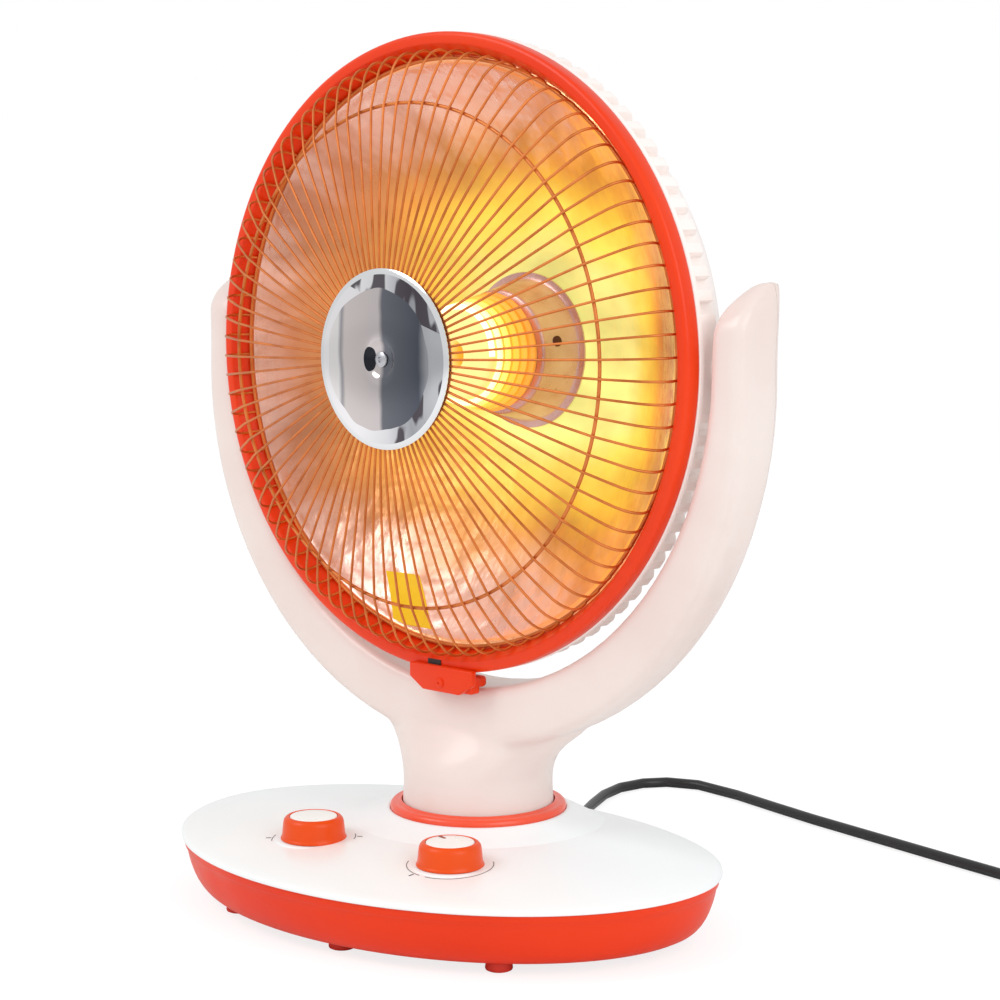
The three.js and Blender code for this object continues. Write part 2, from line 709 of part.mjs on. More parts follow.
function cordGland() {
  const start = -GLAND_COLLAR_SEAT - GAP - GLAND_COLLAR_THICKNESS;
  return cut(
    turned(
      [
        [0, start],
        [GLAND_COLLAR_RADIUS, start],
        [GLAND_COLLAR_RADIUS, start + GLAND_COLLAR_THICKNESS],
        [GLAND_RADIUS, start + GLAND_COLLAR_THICKNESS],
        [GLAND_RADIUS, 4],
        [GLAND_TIP_RADIUS, GLAND_LENGTH],
        [0, GLAND_LENGTH],
      ],
      12,
    ),
    rod(CORD_DIAMETER / 2 - 0.6, start - 1, start + 3, 12),
  );
}

const base = new THREE.Group();
const KNOB_PAD_UNDER = KNOB_PAD_Z - PLATE_THICKNESS;
const KNOB_SEAT_Z = KNOB_PAD_Z + GAP;

add(base, "base_shell", baseShell(), ORANGE_PLASTIC);
add(base, "top_plate", topPlate(), WHITE_PLASTIC);
add(base, "ballast_plate", ballastPlate(), STEEL);
FOOT_PLACES.forEach(([x, y], i) => {
  add(base, `foot_pad_${i + 1}`, footPad(), FEET_RUBBER).position.set(x, y, 0);
});
SCREW_POSTS.forEach(([x, y], i) => {
  add(base, `case_screw_${i + 1}`, caseScrew(), STEEL).position.set(x, y, 0);
});
const gland = add(base, "cord_gland", cordGland(), BLACK_RUBBER);
gland.rotation.x = -Math.PI / 2;
gland.position.set(GLAND_X, GLAND_WALL_Y, GLAND_HEIGHT);

// ---------------------------------------------------------------- knobs and switches
function knob() {
  return turned(
    [
      [KNOB_SHAFT_RADIUS + GAP, 0],
      [KNOB_SKIRT_RADIUS, 0],
      [KNOB_SKIRT_RADIUS - 0.4, KNOB_SKIRT_HEIGHT * 0.6],
      [KNOB_RADIUS + 0.4, KNOB_SKIRT_HEIGHT],
      [KNOB_RADIUS, KNOB_SKIRT_HEIGHT * 2],
      [KNOB_TOP_RADIUS, KNOB_HEIGHT - 2.4],
      [KNOB_TOP_RADIUS - 1.2, KNOB_HEIGHT - 0.6],
      [KNOB_CAP_RADIUS + GAP, KNOB_HEIGHT],
      [KNOB_CAP_RADIUS + GAP, KNOB_HEIGHT - KNOB_CAP_THICKNESS],
      [KNOB_SHAFT_RADIUS + GAP, KNOB_HEIGHT - KNOB_CAP_THICKNESS],
    ],
    16,
  );
}

function knobCap() {
  const low = KNOB_HEIGHT - KNOB_CAP_THICKNESS + GAP;
  return turned(
    [
      [0, low],
      [KNOB_CAP_RADIUS, low],
      [KNOB_CAP_RADIUS, KNOB_HEIGHT],
      [0, KNOB_HEIGHT + 0.4],
    ],
    20,
  );
}

// A shaft with a flat, from inside its switch up into the knob.
function knobShaft(low, high) {
  const flat = KNOB_SHAFT_RADIUS * 0.6;
  const away = KNOB_SHAFT_RADIUS * 2;
  return cut(
    rod(KNOB_SHAFT_RADIUS, low, high, 16),
    block([-away, flat, high - KNOB_SHAFT_GRIP], [away, away, high + 1]),
  );
}

// A switch under the plate, seated against it, with a hole for its shaft.
function switchBody(width, depth, height) {
  const top = KNOB_PAD_UNDER - SWITCH_NECK_HEIGHT - GAP;
  const corner = SWITCH_CORNER;
  const [w, d] = [width / 2, depth / 2];
  const outline = [
    [-w + corner, -d],
    [w - corner, -d],
    [w, -d + corner],
    [w, d - corner],
    [w - corner, d],
    [-w + corner, d],
    [-w, d - corner],
    [-w, -d + corner],
  ];
  const neckTop = KNOB_PAD_UNDER - GAP;
  return cut(
    join(raised(outline, top - height, top), rod(SWITCH_NECK_RADIUS, top - 1, neckTop, 20)),
    rod(KNOB_SHAFT_RADIUS + RUNNING_GAP, top - height + 4, top + 5, 16),
  );
}

function addKnob(name, side, width, depth, height) {
  const x = side * KNOB_X;
  const group = new THREE.Group();
  group.position.set(x, KNOB_Y, KNOB_SEAT_Z);
  add(group, `${name}_knob`, knob(), ORANGE_PLASTIC);
  add(group, `${name}_knob_cap`, knobCap(), WHITE_PLASTIC);
  const low = KNOB_PAD_UNDER - height + 6 - KNOB_SEAT_Z;
  const high = KNOB_HEIGHT - KNOB_CAP_THICKNESS;
  add(group, `${name}_shaft`, knobShaft(low, high), STEEL);
  const body = add(base, `${name}_body`, switchBody(width, depth, height), DARK_PLASTIC);
  body.position.set(x, KNOB_Y, 0);
  return group;
}

const timer = addKnob("timer", -1, TIMER_BODY_WIDTH, TIMER_BODY_DEPTH, TIMER_BODY_HEIGHT);
const mode = addKnob("mode", 1, SWITCH_BODY_WIDTH, SWITCH_BODY_WIDTH, SWITCH_BODY_HEIGHT);

// Tip-over switch: its plunger is held up by the floor and drops when the base lifts.
const BALLAST_TOP_Z = INNER_FLOOR_Z + GAP + BALLAST_THICKNESS;
const PLUNGER_TIP_Z = 0.3;

function tipSwitchBody() {
  const low = BALLAST_TOP_Z + GAP;
  const half = TIP_BODY_WIDTH / 2;
  return cut(
    block([-half, -half * 0.7, low], [half, half * 0.7, low + TIP_BODY_HEIGHT]),
    rod(PLUNGER_RADIUS + RUNNING_GAP, low - 1, low + TIP_BODY_HEIGHT - 3, 16),
  );
}

function tipPlunger() {
  const footTop = PLUNGER_TIP_Z + PLUNGER_FOOT_HEIGHT;
  return join(
    rod(PLUNGER_FOOT_RADIUS - 0.8, PLUNGER_TIP_Z, footTop, 20, PLUNGER_FOOT_RADIUS),
    rod(PLUNGER_RADIUS, footTop - 1, PLUNGER_TIP_Z + PLUNGER_LENGTH, 16),
  );
}

const tipBody = add(base, "tip_switch_body", tipSwitchBody(), DARK_PLASTIC);
tipBody.position.set(TIP_X, TIP_Y, 0);
const plunger = add(base, "tip_plunger", tipPlunger(), WHITE_PLASTIC);
plunger.position.set(TIP_X, TIP_Y, 0);

// ---------------------------------------------------------------- swivel
const COLUMN_FOOT_Z = SEAT_Z + RUNNING_GAP;
const BEARING_TOP_Z = SEAT_Z + GAP + BEARING_FLANGE_HEIGHT;
const WEB_LOW_Z = BEARING_TOP_Z + GAP;
const SLEEVE_RADIUS = PLATE_HOLE_RADIUS - RUNNING_GAP;
const SPIGOT_RADIUS = SLEEVE_RADIUS - BEARING_WALL - RUNNING_GAP;
const SLEEVE_LOW_Z = SEAT_Z - PLATE_THICKNESS - SLEEVE_DROP;
const DISC_TOP_Z = SLEEVE_LOW_Z - RUNNING_GAP;
const SPIGOT_LOW_Z = DISC_TOP_Z + GAP;
const DISC_LOW_Z = DISC_TOP_Z - SWIVEL_DISC_THICKNESS;
const DISC_SCREW_CIRCLE = SPIGOT_RADIUS - SPIGOT_WALL / 2;

function collarRing() {
  const inner = COLUMN_RADIUS + RUNNING_GAP;
  const outer = inner + COLLAR_WIDTH;
  const low = SEAT_Z + GAP;
  const top = low + COLLAR_HEIGHT;
  return turned(
    [
      [inner, low],
      [outer - COLLAR_BEAD, low],
      [outer, top - COLLAR_BEAD * 1.4],
      [outer - COLLAR_BEAD * 0.25, top - COLLAR_BEAD * 0.4],
      [outer - COLLAR_BEAD, top],
      [outer - COLLAR_BEAD * 1.8, top - COLLAR_BEAD * 0.2],
      [inner, top - COLLAR_INNER_DROP],
    ],
    28,
  );
}

function bearingSleeve() {
  const outer = SLEEVE_RADIUS;
  const inner = outer - BEARING_WALL;
  return turned(
    [
      [inner, SLEEVE_LOW_Z],
      [outer, SLEEVE_LOW_Z],
      [outer, SEAT_Z + GAP],
      [BEARING_FLANGE_RADIUS, SEAT_Z + GAP],
      [BEARING_FLANGE_RADIUS, BEARING_TOP_Z],
      [inner, BEARING_TOP_Z],
    ],
    24,
  );
}

// Half the angle of a gear tooth at a radius, on involute flanks of 20 degrees.
function toothHalfAngle(teeth, radius) {
  const pitch = (GEAR_MODULE * teeth) / 2;
  const involute = (angle) => Math.tan(angle) - angle;
  const baseCircle = pitch * Math.cos(rad(20));
  const pressure = Math.acos(Math.min(1, baseCircle / Math.max(radius, baseCircle)));
  const half = Math.PI / (2 * teeth) - GEAR_BACKLASH / (2 * pitch);
  return half + involute(rad(20)) - involute(pressure);
}

// Outline of count neighbouring teeth, the first centred on angle start.
function toothOutline(teeth, count, start) {
  const pitch = (GEAR_MODULE * teeth) / 2;
  const radii = [pitch - 1.2 * GEAR_MODULE, pitch + 0.9 * GEAR_MODULE];
  const points = [];
  for (let i = 0; i < count; i++) {
    const middle = start + (TAU * i) / teeth;
    radii.forEach((r) => points.push(polar(r, middle - toothHalfAngle(teeth, r))));
    [...radii].reverse().forEach((r) => points.push(polar(r, middle + toothHalfAngle(teeth, r))));
  }
  return points.map((p) => [p.x, p.y]);
}

// A disc with a toothed sector whose middle tooth points at the motor's pinion.
function swivelDisc() {
  const step = TAU / SECTOR_TEETH_ROUND;
  const start = -Math.PI / 2 - step * Math.floor(SECTOR_TEETH / 2);
  const plain = (GEAR_MODULE * SECTOR_TEETH_ROUND) / 2 - 1.2 * GEAR_MODULE;
  const from = start + step * (SECTOR_TEETH - 0.5);
  const to = start - step / 2 + TAU;
  const arc = Array.from({ length: 14 }, (_, i) => polar(plain, lerp(from, to, (i + 0.5) / 14)));
  const outline = [
    ...toothOutline(SECTOR_TEETH_ROUND, SECTOR_TEETH, start),
    ...arc.map((p) => [p.x, p.y]),
  ];
  const screws = Array.from({ length: DISC_SCREW_COUNT }, (_, i) => {
    const p = polar(DISC_SCREW_CIRCLE, (TAU * i) / DISC_SCREW_COUNT);
    return { x: p.x, y: p.y, r: SCREW_RADIUS + GAP };
  });
  const wireHole = { x: 0, y: 0, r: SPIGOT_RADIUS - SPIGOT_WALL - 2 };
  return raised(outline, DISC_LOW_Z, DISC_TOP_Z, [...screws, wireHole]);
}

function discScrew() {
  const headTop = DISC_LOW_Z - GAP;
  return join(
    rod(SCREW_HEAD_RADIUS - 0.8, headTop - 2, headTop, 12),
    rod(SCREW_RADIUS, headTop - 0.5, headTop + DISC_SCREW_LENGTH, 10),
  );
}

const PINION_LOW_Z = (DISC_LOW_Z + DISC_TOP_Z) / 2 - PINION_HEIGHT / 2;
const MOTOR_TOP_Z = PINION_LOW_Z - 1;

function motorPinion() {
  // A gap between two teeth faces the sector.
  const start = Math.PI / 2 + Math.PI / PINION_TEETH;
  const outline = toothOutline(PINION_TEETH, PINION_TEETH, start);
  return join(
    raised(outline, PINION_LOW_Z, PINION_LOW_Z + PINION_HEIGHT),
    rod(PINION_SHAFT_RADIUS, MOTOR_TOP_Z - 6, PINION_LOW_Z + 1, 12),
  );
}

function oscillationMotor() {
  const earLow = MOTOR_POST_TOP_Z + GAP;
  const half = [MOTOR_EAR_LENGTH / 2, MOTOR_EAR_WIDTH / 2];
  return cut(
    join(
      rod(MOTOR_RADIUS, MOTOR_TOP_Z - MOTOR_HEIGHT, MOTOR_TOP_Z, 32),
      block([-half[0], -half[1], earLow], [half[0], half[1], earLow + MOTOR_EAR_THICKNESS]),
    ),
    rod(PINION_SHAFT_RADIUS + RUNNING_GAP, MOTOR_TOP_Z - 7, MOTOR_TOP_Z + 1, 12),
  );
}

const collar = add(base, "collar_ring", collarRing(), ORANGE_PLASTIC);
collar.position.y = COLUMN_Y;
const sleeve = add(base, "bearing_sleeve", bearingSleeve(), DARK_PLASTIC);
sleeve.position.y = COLUMN_Y;
const motor = add(base, "oscillation_motor", oscillationMotor(), STEEL);
motor.position.y = MOTOR_Y;
const pinion = add(base, "motor_pinion", motorPinion(), WHITE_PLASTIC);
pinion.position.y = MOTOR_Y;

// Pieces that turn with the yoke but are drawn unturned, so the teeth are in mesh at rest.
const swivel = new THREE.Group();
swivel.position.y = COLUMN_Y;
add(swivel, "swivel_disc", swivelDisc(), DARK_PLASTIC);
for (let i = 0; i < DISC_SCREW_COUNT; i++) {
  const screw = add(swivel, `disc_screw_${i + 1}`, discScrew(), STEEL);
  screw.position.copy(polar(DISC_SCREW_CIRCLE, (TAU * i) / DISC_SCREW_COUNT));
}

// ---------------------------------------------------------------- yoke
// Angles run from a pivot (0) down to the bottom of the yoke (90 degrees) and up again.
const fromPivot = (angle) => (angle > Math.PI / 2 ? Math.PI - angle : angle);

// One section across an arm, grown by a signed amount; a ring of points.
function armSection(angle, grow) {
  const down = fromPivot(angle);
  const low = Math.pow(Math.max(0, Math.sin(down)), 2);
  const bulge = YOKE_BOTTOM_THICKENING * Math.max(0, Math.sin(down));
  const tip = THREE.MathUtils.clamp(
    (-down - rad(YOKE_TIP_START_DEG)) / rad(YOKE_TIP_ANGLE_DEG - YOKE_TIP_START_DEG),
    0,
    1,
  );
  const lean = YOKE_TIP_FLARE * Math.pow(Math.max(0, -down / rad(YOKE_TIP_ANGLE_DEG)), 1.8);
  const inner = YOKE_INNER_RADIUS + YOKE_BOTTOM_DROP * low + lean - grow;
  const thickness = YOKE_INNER_RADIUS + YOKE_THICKNESS + bulge + lean + grow - inner;
  const front = lerp(YOKE_FRONT, YOKE_TIP_BACK, tip ** 2) - grow;
  const depth = YOKE_BACK + grow - 3 * Math.pow(tip, 6) - front;
  const squeeze = 1 - YOKE_TIP_THINNING * tip ** 3;
  return YOKE_SECTION.map(([across, deep]) => {
    const r = inner + thickness * (0.5 + (across - 0.5) * squeeze);
    return [r * Math.cos(angle), front + depth * deep, PIVOT_HEIGHT - r * Math.sin(angle)];
  });
}

function arms(grow, tipDeg) {
  const half = [tipDeg, tipDeg - 1, tipDeg - 3, tipDeg - 6];
  const steps = [...half.map((d) => -d), 0, 18, 36, 54, 72];
  const all = [...steps, 90, ...[...steps].reverse().map((d) => 180 - d)];
  return loft(all.map((d) => armSection(rad(d), grow)));
}

const YOKE_LOWEST_RADIUS = YOKE_INNER_RADIUS + YOKE_THICKNESS + YOKE_BOTTOM_THICKENING;
const YOKE_RISE = PIVOT_HEIGHT - YOKE_LOWEST_RADIUS - COLUMN_FOOT_Z;

// Sections under the yoke share the room there, and those inside it keep their place in it.
function neckHeight(height) {
  if (height > NECK_RISE) return YOKE_RISE + height - NECK_RISE;
  return height > 0 ? (height / NECK_RISE) * YOKE_RISE : height;
}

// The round column that flares into the yoke's bottom.
function neck(grow, extraFoot = 0) {
  const foot = COLUMN_FOOT_Z - extraFoot;
  const rows = [[foot - COLUMN_FOOT_Z, COLUMN_RADIUS, COLUMN_RADIUS], ...NECK_SECTIONS];
  return loft(
    rows.map(([height, halfX, halfY]) =>
      Array.from({ length: NECK_STEPS }, (_, i) => {
        const t = (TAU * i) / NECK_STEPS;
        const y = (halfY + grow) * Math.sin(t);
        const middle = (YOKE_FRONT + YOKE_BACK) / 2;
        const shift = middle * (1 - halfY / COLUMN_RADIUS);
        return [(halfX + grow) * Math.cos(t), y + shift, COLUMN_FOOT_Z + neckHeight(height)];
      }),
    ),
  );
}

const PIVOT_SIDES = [
  ["left", -1],
  ["right", 1],
];
const alongX = (geometry, side) => geometry.rotateY((side * Math.PI) / 2);
const BUSH_OUTER_X = YOKE_INNER_RADIUS - GAP;
const BUSH_INNER_X = BUSH_OUTER_X - BUSH_THICKNESS;
const BOSS_OUTER_X = BUSH_INNER_X - GAP;
const BOSS_INNER_X = BOSS_OUTER_X - BOSS_LENGTH;
const ARM_WALL_X = YOKE_INNER_RADIUS + YOKE_WALL + 1.2;

function yokeBody() {
  const hollow = join(arms(-YOKE_WALL, YOKE_TIP_ANGLE_DEG - 5), neck(-YOKE_WALL, 5));
  const webOuter = COLUMN_RADIUS - 1;
  const web = rod(webOuter, WEB_LOW_Z, WEB_LOW_Z + COLUMN_WEB, 36);
  const spigot = rod(SPIGOT_RADIUS, SPIGOT_LOW_Z, WEB_LOW_Z + 1, 32);
  const wireWay = rod(SPIGOT_RADIUS - SPIGOT_WALL, SPIGOT_LOW_Z - 5, WEB_LOW_Z + 20, 24);
  const screwHoles = Array.from({ length: DISC_SCREW_COUNT }, (_, i) => {
    const p = polar(DISC_SCREW_CIRCLE, (TAU * i) / DISC_SCREW_COUNT + rad(REST_SWIVEL_DEG));
    const top = DISC_LOW_Z + DISC_SCREW_LENGTH + 2;
    return rod(SCREW_RADIUS + GAP, SPIGOT_LOW_Z - 1, top, 10).translate(p.x, p.y, 0);
  });
  const pads = PIVOT_SIDES.map(([, side]) =>
    alongX(rod(BUSH_RADIUS, YOKE_INNER_RADIUS, ARM_WALL_X, 20), side).translate(0, 0, PIVOT_HEIGHT),
  );
  const pivotHoles = PIVOT_SIDES.map(([, side]) =>
    alongX(rod(PIVOT_BOLT_RADIUS + GAP, 0, ARM_WALL_X + 2, 16), side).translate(0, 0, PIVOT_HEIGHT),
  );
  const bushSeats = PIVOT_SIDES.map(([, side]) =>
    alongX(rod(BUSH_RADIUS + GAP, BOSS_INNER_X, YOKE_INNER_RADIUS, 24), side).translate(0, 0, PIVOT_HEIGHT),
  );
  const skin = cut(join(arms(0, YOKE_TIP_ANGLE_DEG), neck(0)), hollow);
  return cut(join(skin, web, spigot, ...pads), wireWay, ...screwHoles, ...pivotHoles, ...bushSeats);
}

const FAR = 400; // past every piece, for cutting tools
const yokeWhole = yokeBody();
const seamHeight = COLUMN_FOOT_Z + neckHeight(YOKE_SEAM_HEIGHT);
const backRoom = (gap) => block([-FAR, YOKE_SEAM_Y + gap, seamHeight + gap], [FAR, FAR, FAR]);

const yoke = new THREE.Group();
yoke.position.y = COLUMN_Y;
yoke.rotation.z = -rad(REST_SWIVEL_DEG);
add(yoke, "yoke_shell", cut(yokeWhole, backRoom(0)), WHITE_PLASTIC);
add(yoke, "yoke_back_cover", common(yokeWhole, backRoom(GAP)), WHITE_PLASTIC);

function pivotBolt() {
  const seat = ARM_WALL_X + GAP;
  return join(
    rod(PIVOT_HEAD_RADIUS, seat, seat + PIVOT_HEAD_HEIGHT, 16),
    rod(PIVOT_BOLT_RADIUS, BOSS_INNER_X - 3, seat + 1, 12),
  );
}

for (const [name, side] of PIVOT_SIDES) {
  const place = (mesh) => mesh.position.set(0, 0, PIVOT_HEIGHT);
  place(add(yoke, `pivot_bolt_${name}`, alongX(pivotBolt(), side), STEEL));
  const bush = washer(BUSH_RADIUS, PIVOT_BOLT_RADIUS + GAP, BUSH_INNER_X, BUSH_OUTER_X, 16);
  place(add(yoke, `friction_bush_${name}`, alongX(bush, side), BROWN_FIBRE));
}

// ---------------------------------------------------------------- head
// The head's own frame: x to the right, y up, z forward along the axis, from the tilt pivot.
const head = new THREE.Group();
head.position.z = PIVOT_HEIGHT;
head.rotation.x = Math.PI / 2;
yoke.add(head);

const RING_BACK = RING_FRONT - RING_DEPTH;
const RING_INNER = RING_RADIUS - RING_LIP;
const DISH_VERTEX = REFLECTOR_RIM - REFLECTOR_DEPTH;
const dish = (radius) => DISH_VERTEX + REFLECTOR_DEPTH * (radius / REFLECTOR_RADIUS) ** 2;
const CASING_RIM = RING_BACK - GAP;
const FLANGE_FRONT = REFLECTOR_RIM - 0.4;
const LEDGE_FRONT = FLANGE_FRONT - REFLECTOR_SHEET - GAP;
const GUARD_RIM = FLANGE_FRONT + GAP + GUARD_HOOP_HALF;

function frontRing() {
  return turned([
    [RING_RADIUS - 0.8, RING_BACK],
    [RING_RADIUS, RING_FRONT - 1.8],
    [RING_RADIUS - 1.6, RING_FRONT],
    [RING_INNER, RING_FRONT],
    [RING_INNER - RING_INNER_SLOPE, FLANGE_FRONT + GAP],
    [RING_INNER - RING_INNER_SLOPE + 2, FLANGE_FRONT + GAP],
    [RING_INNER + 1.2, RING_FRONT - RING_WALL],
    [RING_RADIUS - RING_WALL - 0.8, RING_FRONT - RING_WALL],
    [RING_RADIUS - RING_WALL - 0.8, RING_BACK],
  ]);
}

function reflector() {
  const radii = [0, 0.32, 0.68, 1].map((share) =>
    lerp(REFLECTOR_APERTURE, REFLECTOR_RADIUS - REFLECTOR_BEAD, share),
  );
  const front = radii.map((r) => [r, dish(r)]);
  const back = [...radii].reverse().map((r) => [r + 0.2, dish(r) - REFLECTOR_SHEET]);
  const rimOuter = REFLECTOR_RADIUS + REFLECTOR_FLANGE;
  return turned([
    ...front,
    [REFLECTOR_RADIUS + 1, FLANGE_FRONT],
    [rimOuter, FLANGE_FRONT],
    [rimOuter, FLANGE_FRONT - REFLECTOR_SHEET],
    [REFLECTOR_RADIUS + 0.5, FLANGE_FRONT - REFLECTOR_SHEET],
    ...back,
  ]);
}

// Outside of the casing, from its rim to its back, as [radius, distance ahead of the pivot].
const CASING_OUTLINE = [
  [CASING_RIM_RADIUS, CASING_RIM],
  [CASING_RIM_RADIUS, CASING_RIM - CASING_RIM_THICKNESS],
  [CASING_SHOULDER_RADIUS, CASING_RIM - CASING_RIM_THICKNESS],
  [CASING_SHOULDER_RADIUS, FIN_BACK],
  [RING_RADIUS - 8, 2],
  [RING_RADIUS - 20, -20],
  [RING_RADIUS - 50, -50],
  [RING_RADIUS - 85, -75],
  [CASING_BACK_RADIUS, -CASING_DEPTH],
];
const CASING_INSIDE_RADIUS = CASING_FIN_FLOOR - 4;
const CASING_INSIDE = [
  [CASING_INSIDE_RADIUS, 18],
  [CASING_INSIDE_RADIUS, 6],
  [RING_RADIUS - 22.5, -19],
  [RING_RADIUS - 87, -72.4],
  [CASING_BACK_RADIUS - 1, -CASING_DEPTH + CASING_WALL],
];

// The room between two fins.
function finGap(angle) {
  const half = FIN_GAP_WIDTH / 2;
  const front = CASING_RIM - CASING_RIM_THICKNESS;
  return block([CASING_FIN_FLOOR, -half, FIN_BACK], [FAR, half, front]).rotateZ(angle);
}

function rearCasing() {
  const rimInner = REFLECTOR_RADIUS + REFLECTOR_FLANGE + CASING_RIM_PLAY;
  const shell = turned(
    [
      [0, -CASING_DEPTH],
      ...[...CASING_OUTLINE].reverse(),
      [rimInner, CASING_RIM],
      [rimInner, LEDGE_FRONT],
      [rimInner - CASING_LEDGE, LEDGE_FRONT],
      ...CASING_INSIDE,
      [0, -CASING_DEPTH + CASING_WALL],
    ],
    CASING_STEPS,
  );
  const bosses = PIVOT_SIDES.map(([, side]) =>
    alongX(rod(BOSS_RADIUS, BOSS_INNER_X, BOSS_OUTER_X, 28), side),
  );
  const bores = PIVOT_SIDES.map(([, side]) =>
    alongX(rod(PIVOT_BOLT_RADIUS + GAP, 0, FAR, 14), side),
  );
  const gaps = [];
  for (let i = 0; i < FIN_COUNT; i++) {
    const angle = (TAU * (i + 0.5)) / FIN_COUNT;
    const fromSide = Math.abs(Math.asin(Math.sin(angle)));
    if (fromSide > rad(FIN_FREE_DEG)) gaps.push(finGap(angle));
  }
  const rearVents = Array.from({ length: REAR_VENT_COUNT }, (_, i) => {
    const x = (i - (REAR_VENT_COUNT - 1) / 2) * REAR_VENT_WIDTH * 2;
    const half = Math.sqrt((CASING_BACK_RADIUS - 14) ** 2 - x ** 2);
    const low = -CASING_DEPTH - 1;
    const slot = [REAR_VENT_WIDTH / 2, half];
    return block([x - slot[0], -slot[1], low], [x + slot[0], slot[1], low + CASING_WALL + 2]);
  });
  return cut(join(shell, ...bosses), ...bores, ...gaps, ...rearVents);
}

// A hoop of wire about the head's axis.
function hoop(radius, s, steps) {
  const middle = Array.from({ length: steps }, (_, i) => polar(radius, (TAU * i) / steps, s));
  return tube(middle, GUARD_HOOP_HALF * Math.SQRT2, 4, true);
}

// The guard: radial wires between a rim hoop and a hub hoop, in one piece.
function wireGuard() {
  const profile = [
    [GUARD_RIM_RADIUS, GUARD_RIM],
    [GUARD_BULGE_RADIUS, GUARD_BULGE],
    [GUARD_SUPPORT_RADIUS, GUARD_SUPPORT],
    [GUARD_HUB_RADIUS, GUARD_HUB],
  ];
  const wires = Array.from({ length: WIRE_COUNT }, (_, i) => {
    const angle = (TAU * (i + 0.5)) / WIRE_COUNT;
    return tube(
      profile.map(([r, s]) => polar(r, angle, s)),
      WIRE_RADIUS,
      WIRE_SIDES,
    );
  });
  const rim = hoop(GUARD_RIM_RADIUS, GUARD_RIM, HOOP_STEPS);
  return join(rim, hoop(GUARD_HUB_RADIUS, GUARD_HUB, HOOP_STEPS / 2), ...wires);
}

// The hoop that the wires rest on half way out.
function guardSupportRing() {
  const under = GUARD_SUPPORT - WIRE_RADIUS - GUARD_HOOP_HALF - GAP;
  return hoop(GUARD_SUPPORT_RADIUS - 2, under, HEAD_STEPS);
}

const CAP_BACK = GUARD_HUB + GUARD_HOOP_HALF + GAP;
const BACK_PLATE_FRONT = GUARD_HUB - GUARD_HOOP_HALF - GAP;

function guardCap() {
  const dimple = CAP_BACK + CAP_HEIGHT - CAP_DIMPLE;
  return turned(
    [
      [CAP_SCREW_RADIUS + GAP, CAP_BACK],
      [CAP_RADIUS - 1, CAP_BACK],
      [CAP_RADIUS, CAP_BACK + 0.8],
      [CAP_RADIUS - 0.8, CAP_BACK + 1.6],
      [CAP_RADIUS * 0.62, CAP_BACK + CAP_HEIGHT],
      [CAP_DIMPLE_RADIUS, CAP_BACK + CAP_HEIGHT],
      [CAP_DIMPLE_RADIUS - 4, dimple],
      [CAP_SCREW_RADIUS + GAP, dimple],
    ],
    24,
  );
}

function capScrew() {
  const seat = CAP_BACK + CAP_HEIGHT - CAP_DIMPLE + GAP;
  const end = BACK_PLATE_FRONT - BACK_PLATE_THICKNESS - 3;
  return join(
    rod(CAP_SCREW_HEAD_RADIUS, seat, seat + CAP_SCREW_HEAD_HEIGHT * 0.5, 16, CAP_SCREW_HEAD_RADIUS - 1),
    rod(CAP_SCREW_RADIUS, end, seat + 0.5, 12),
  );
}

function guardBackPlate() {
  const low = BACK_PLATE_FRONT - BACK_PLATE_THICKNESS;
  return washer(BACK_PLATE_RADIUS, CAP_SCREW_RADIUS + GAP, low, BACK_PLATE_FRONT, 20);
}

// The block that closes the split ring under its lowest point.
function ringClip() {
  const top = -(RING_RADIUS - CLIP_LAP);
  const low = -(RING_RADIUS + CLIP_DROP);
  const [a, b] = [CLIP_OFFSET_X - CLIP_HALF_WIDTH, CLIP_OFFSET_X + CLIP_HALF_WIDTH];
  const outline = [
    [a, top],
    [a, low + CLIP_CHAMFER],
    [a + CLIP_CHAMFER * 1.6, low],
    [b - CLIP_CHAMFER * 1.6, low],
    [b, low + CLIP_CHAMFER],
    [b, top],
  ];
  const front = RING_FRONT + GAP;
  const rear = block([a + 4, -(RING_RADIUS + CLIP_REAR_DROP), CLIP_BACK], [b - 4, top, CLIP_STEP + 1]);
  return cut(
    join(raised(outline, CLIP_STEP, front + CLIP_FRONT_PLATE), rear),
    rod(RING_RADIUS + RUNNING_GAP, 0, front, 96),
    rod(CLIP_SCREW_RADIUS + GAP, 0, FAR, 12).translate(CLIP_OFFSET_X, -(RING_RADIUS + CLIP_DROP / 2), 0),
  );
}

function clipScrew() {
  const seat = RING_FRONT + GAP + CLIP_FRONT_PLATE + GAP;
  const screw = join(rod(2.8, seat, seat + 1.6, 14), rod(CLIP_SCREW_RADIUS, RING_BACK + 2, seat + 0.5, 10));
  return screw.translate(CLIP_OFFSET_X, -(RING_RADIUS + CLIP_DROP / 2), 0);
}

add(head, "rear_casing", rearCasing(), WHITE_PLASTIC);
add(head, "reflector", reflector(), POLISHED_ALUMINIUM);
add(head, "front_ring", frontRing(), ORANGE_PLASTIC);
add(head, "wire_guard", wireGuard(), COPPER_WIRE);
add(head, "guard_support_ring", guardSupportRing(), COPPER_WIRE);
add(head, "guard_cap", guardCap(), CHROME);
add(head, "guard_back_plate", guardBackPlate(), STEEL);
add(head, "guard_cap_screw", capScrew(), STEEL);
add(head, "ring_clip", ringClip(), ORANGE_PLASTIC);
add(head, "ring_clip_screw", clipScrew(), STEEL);

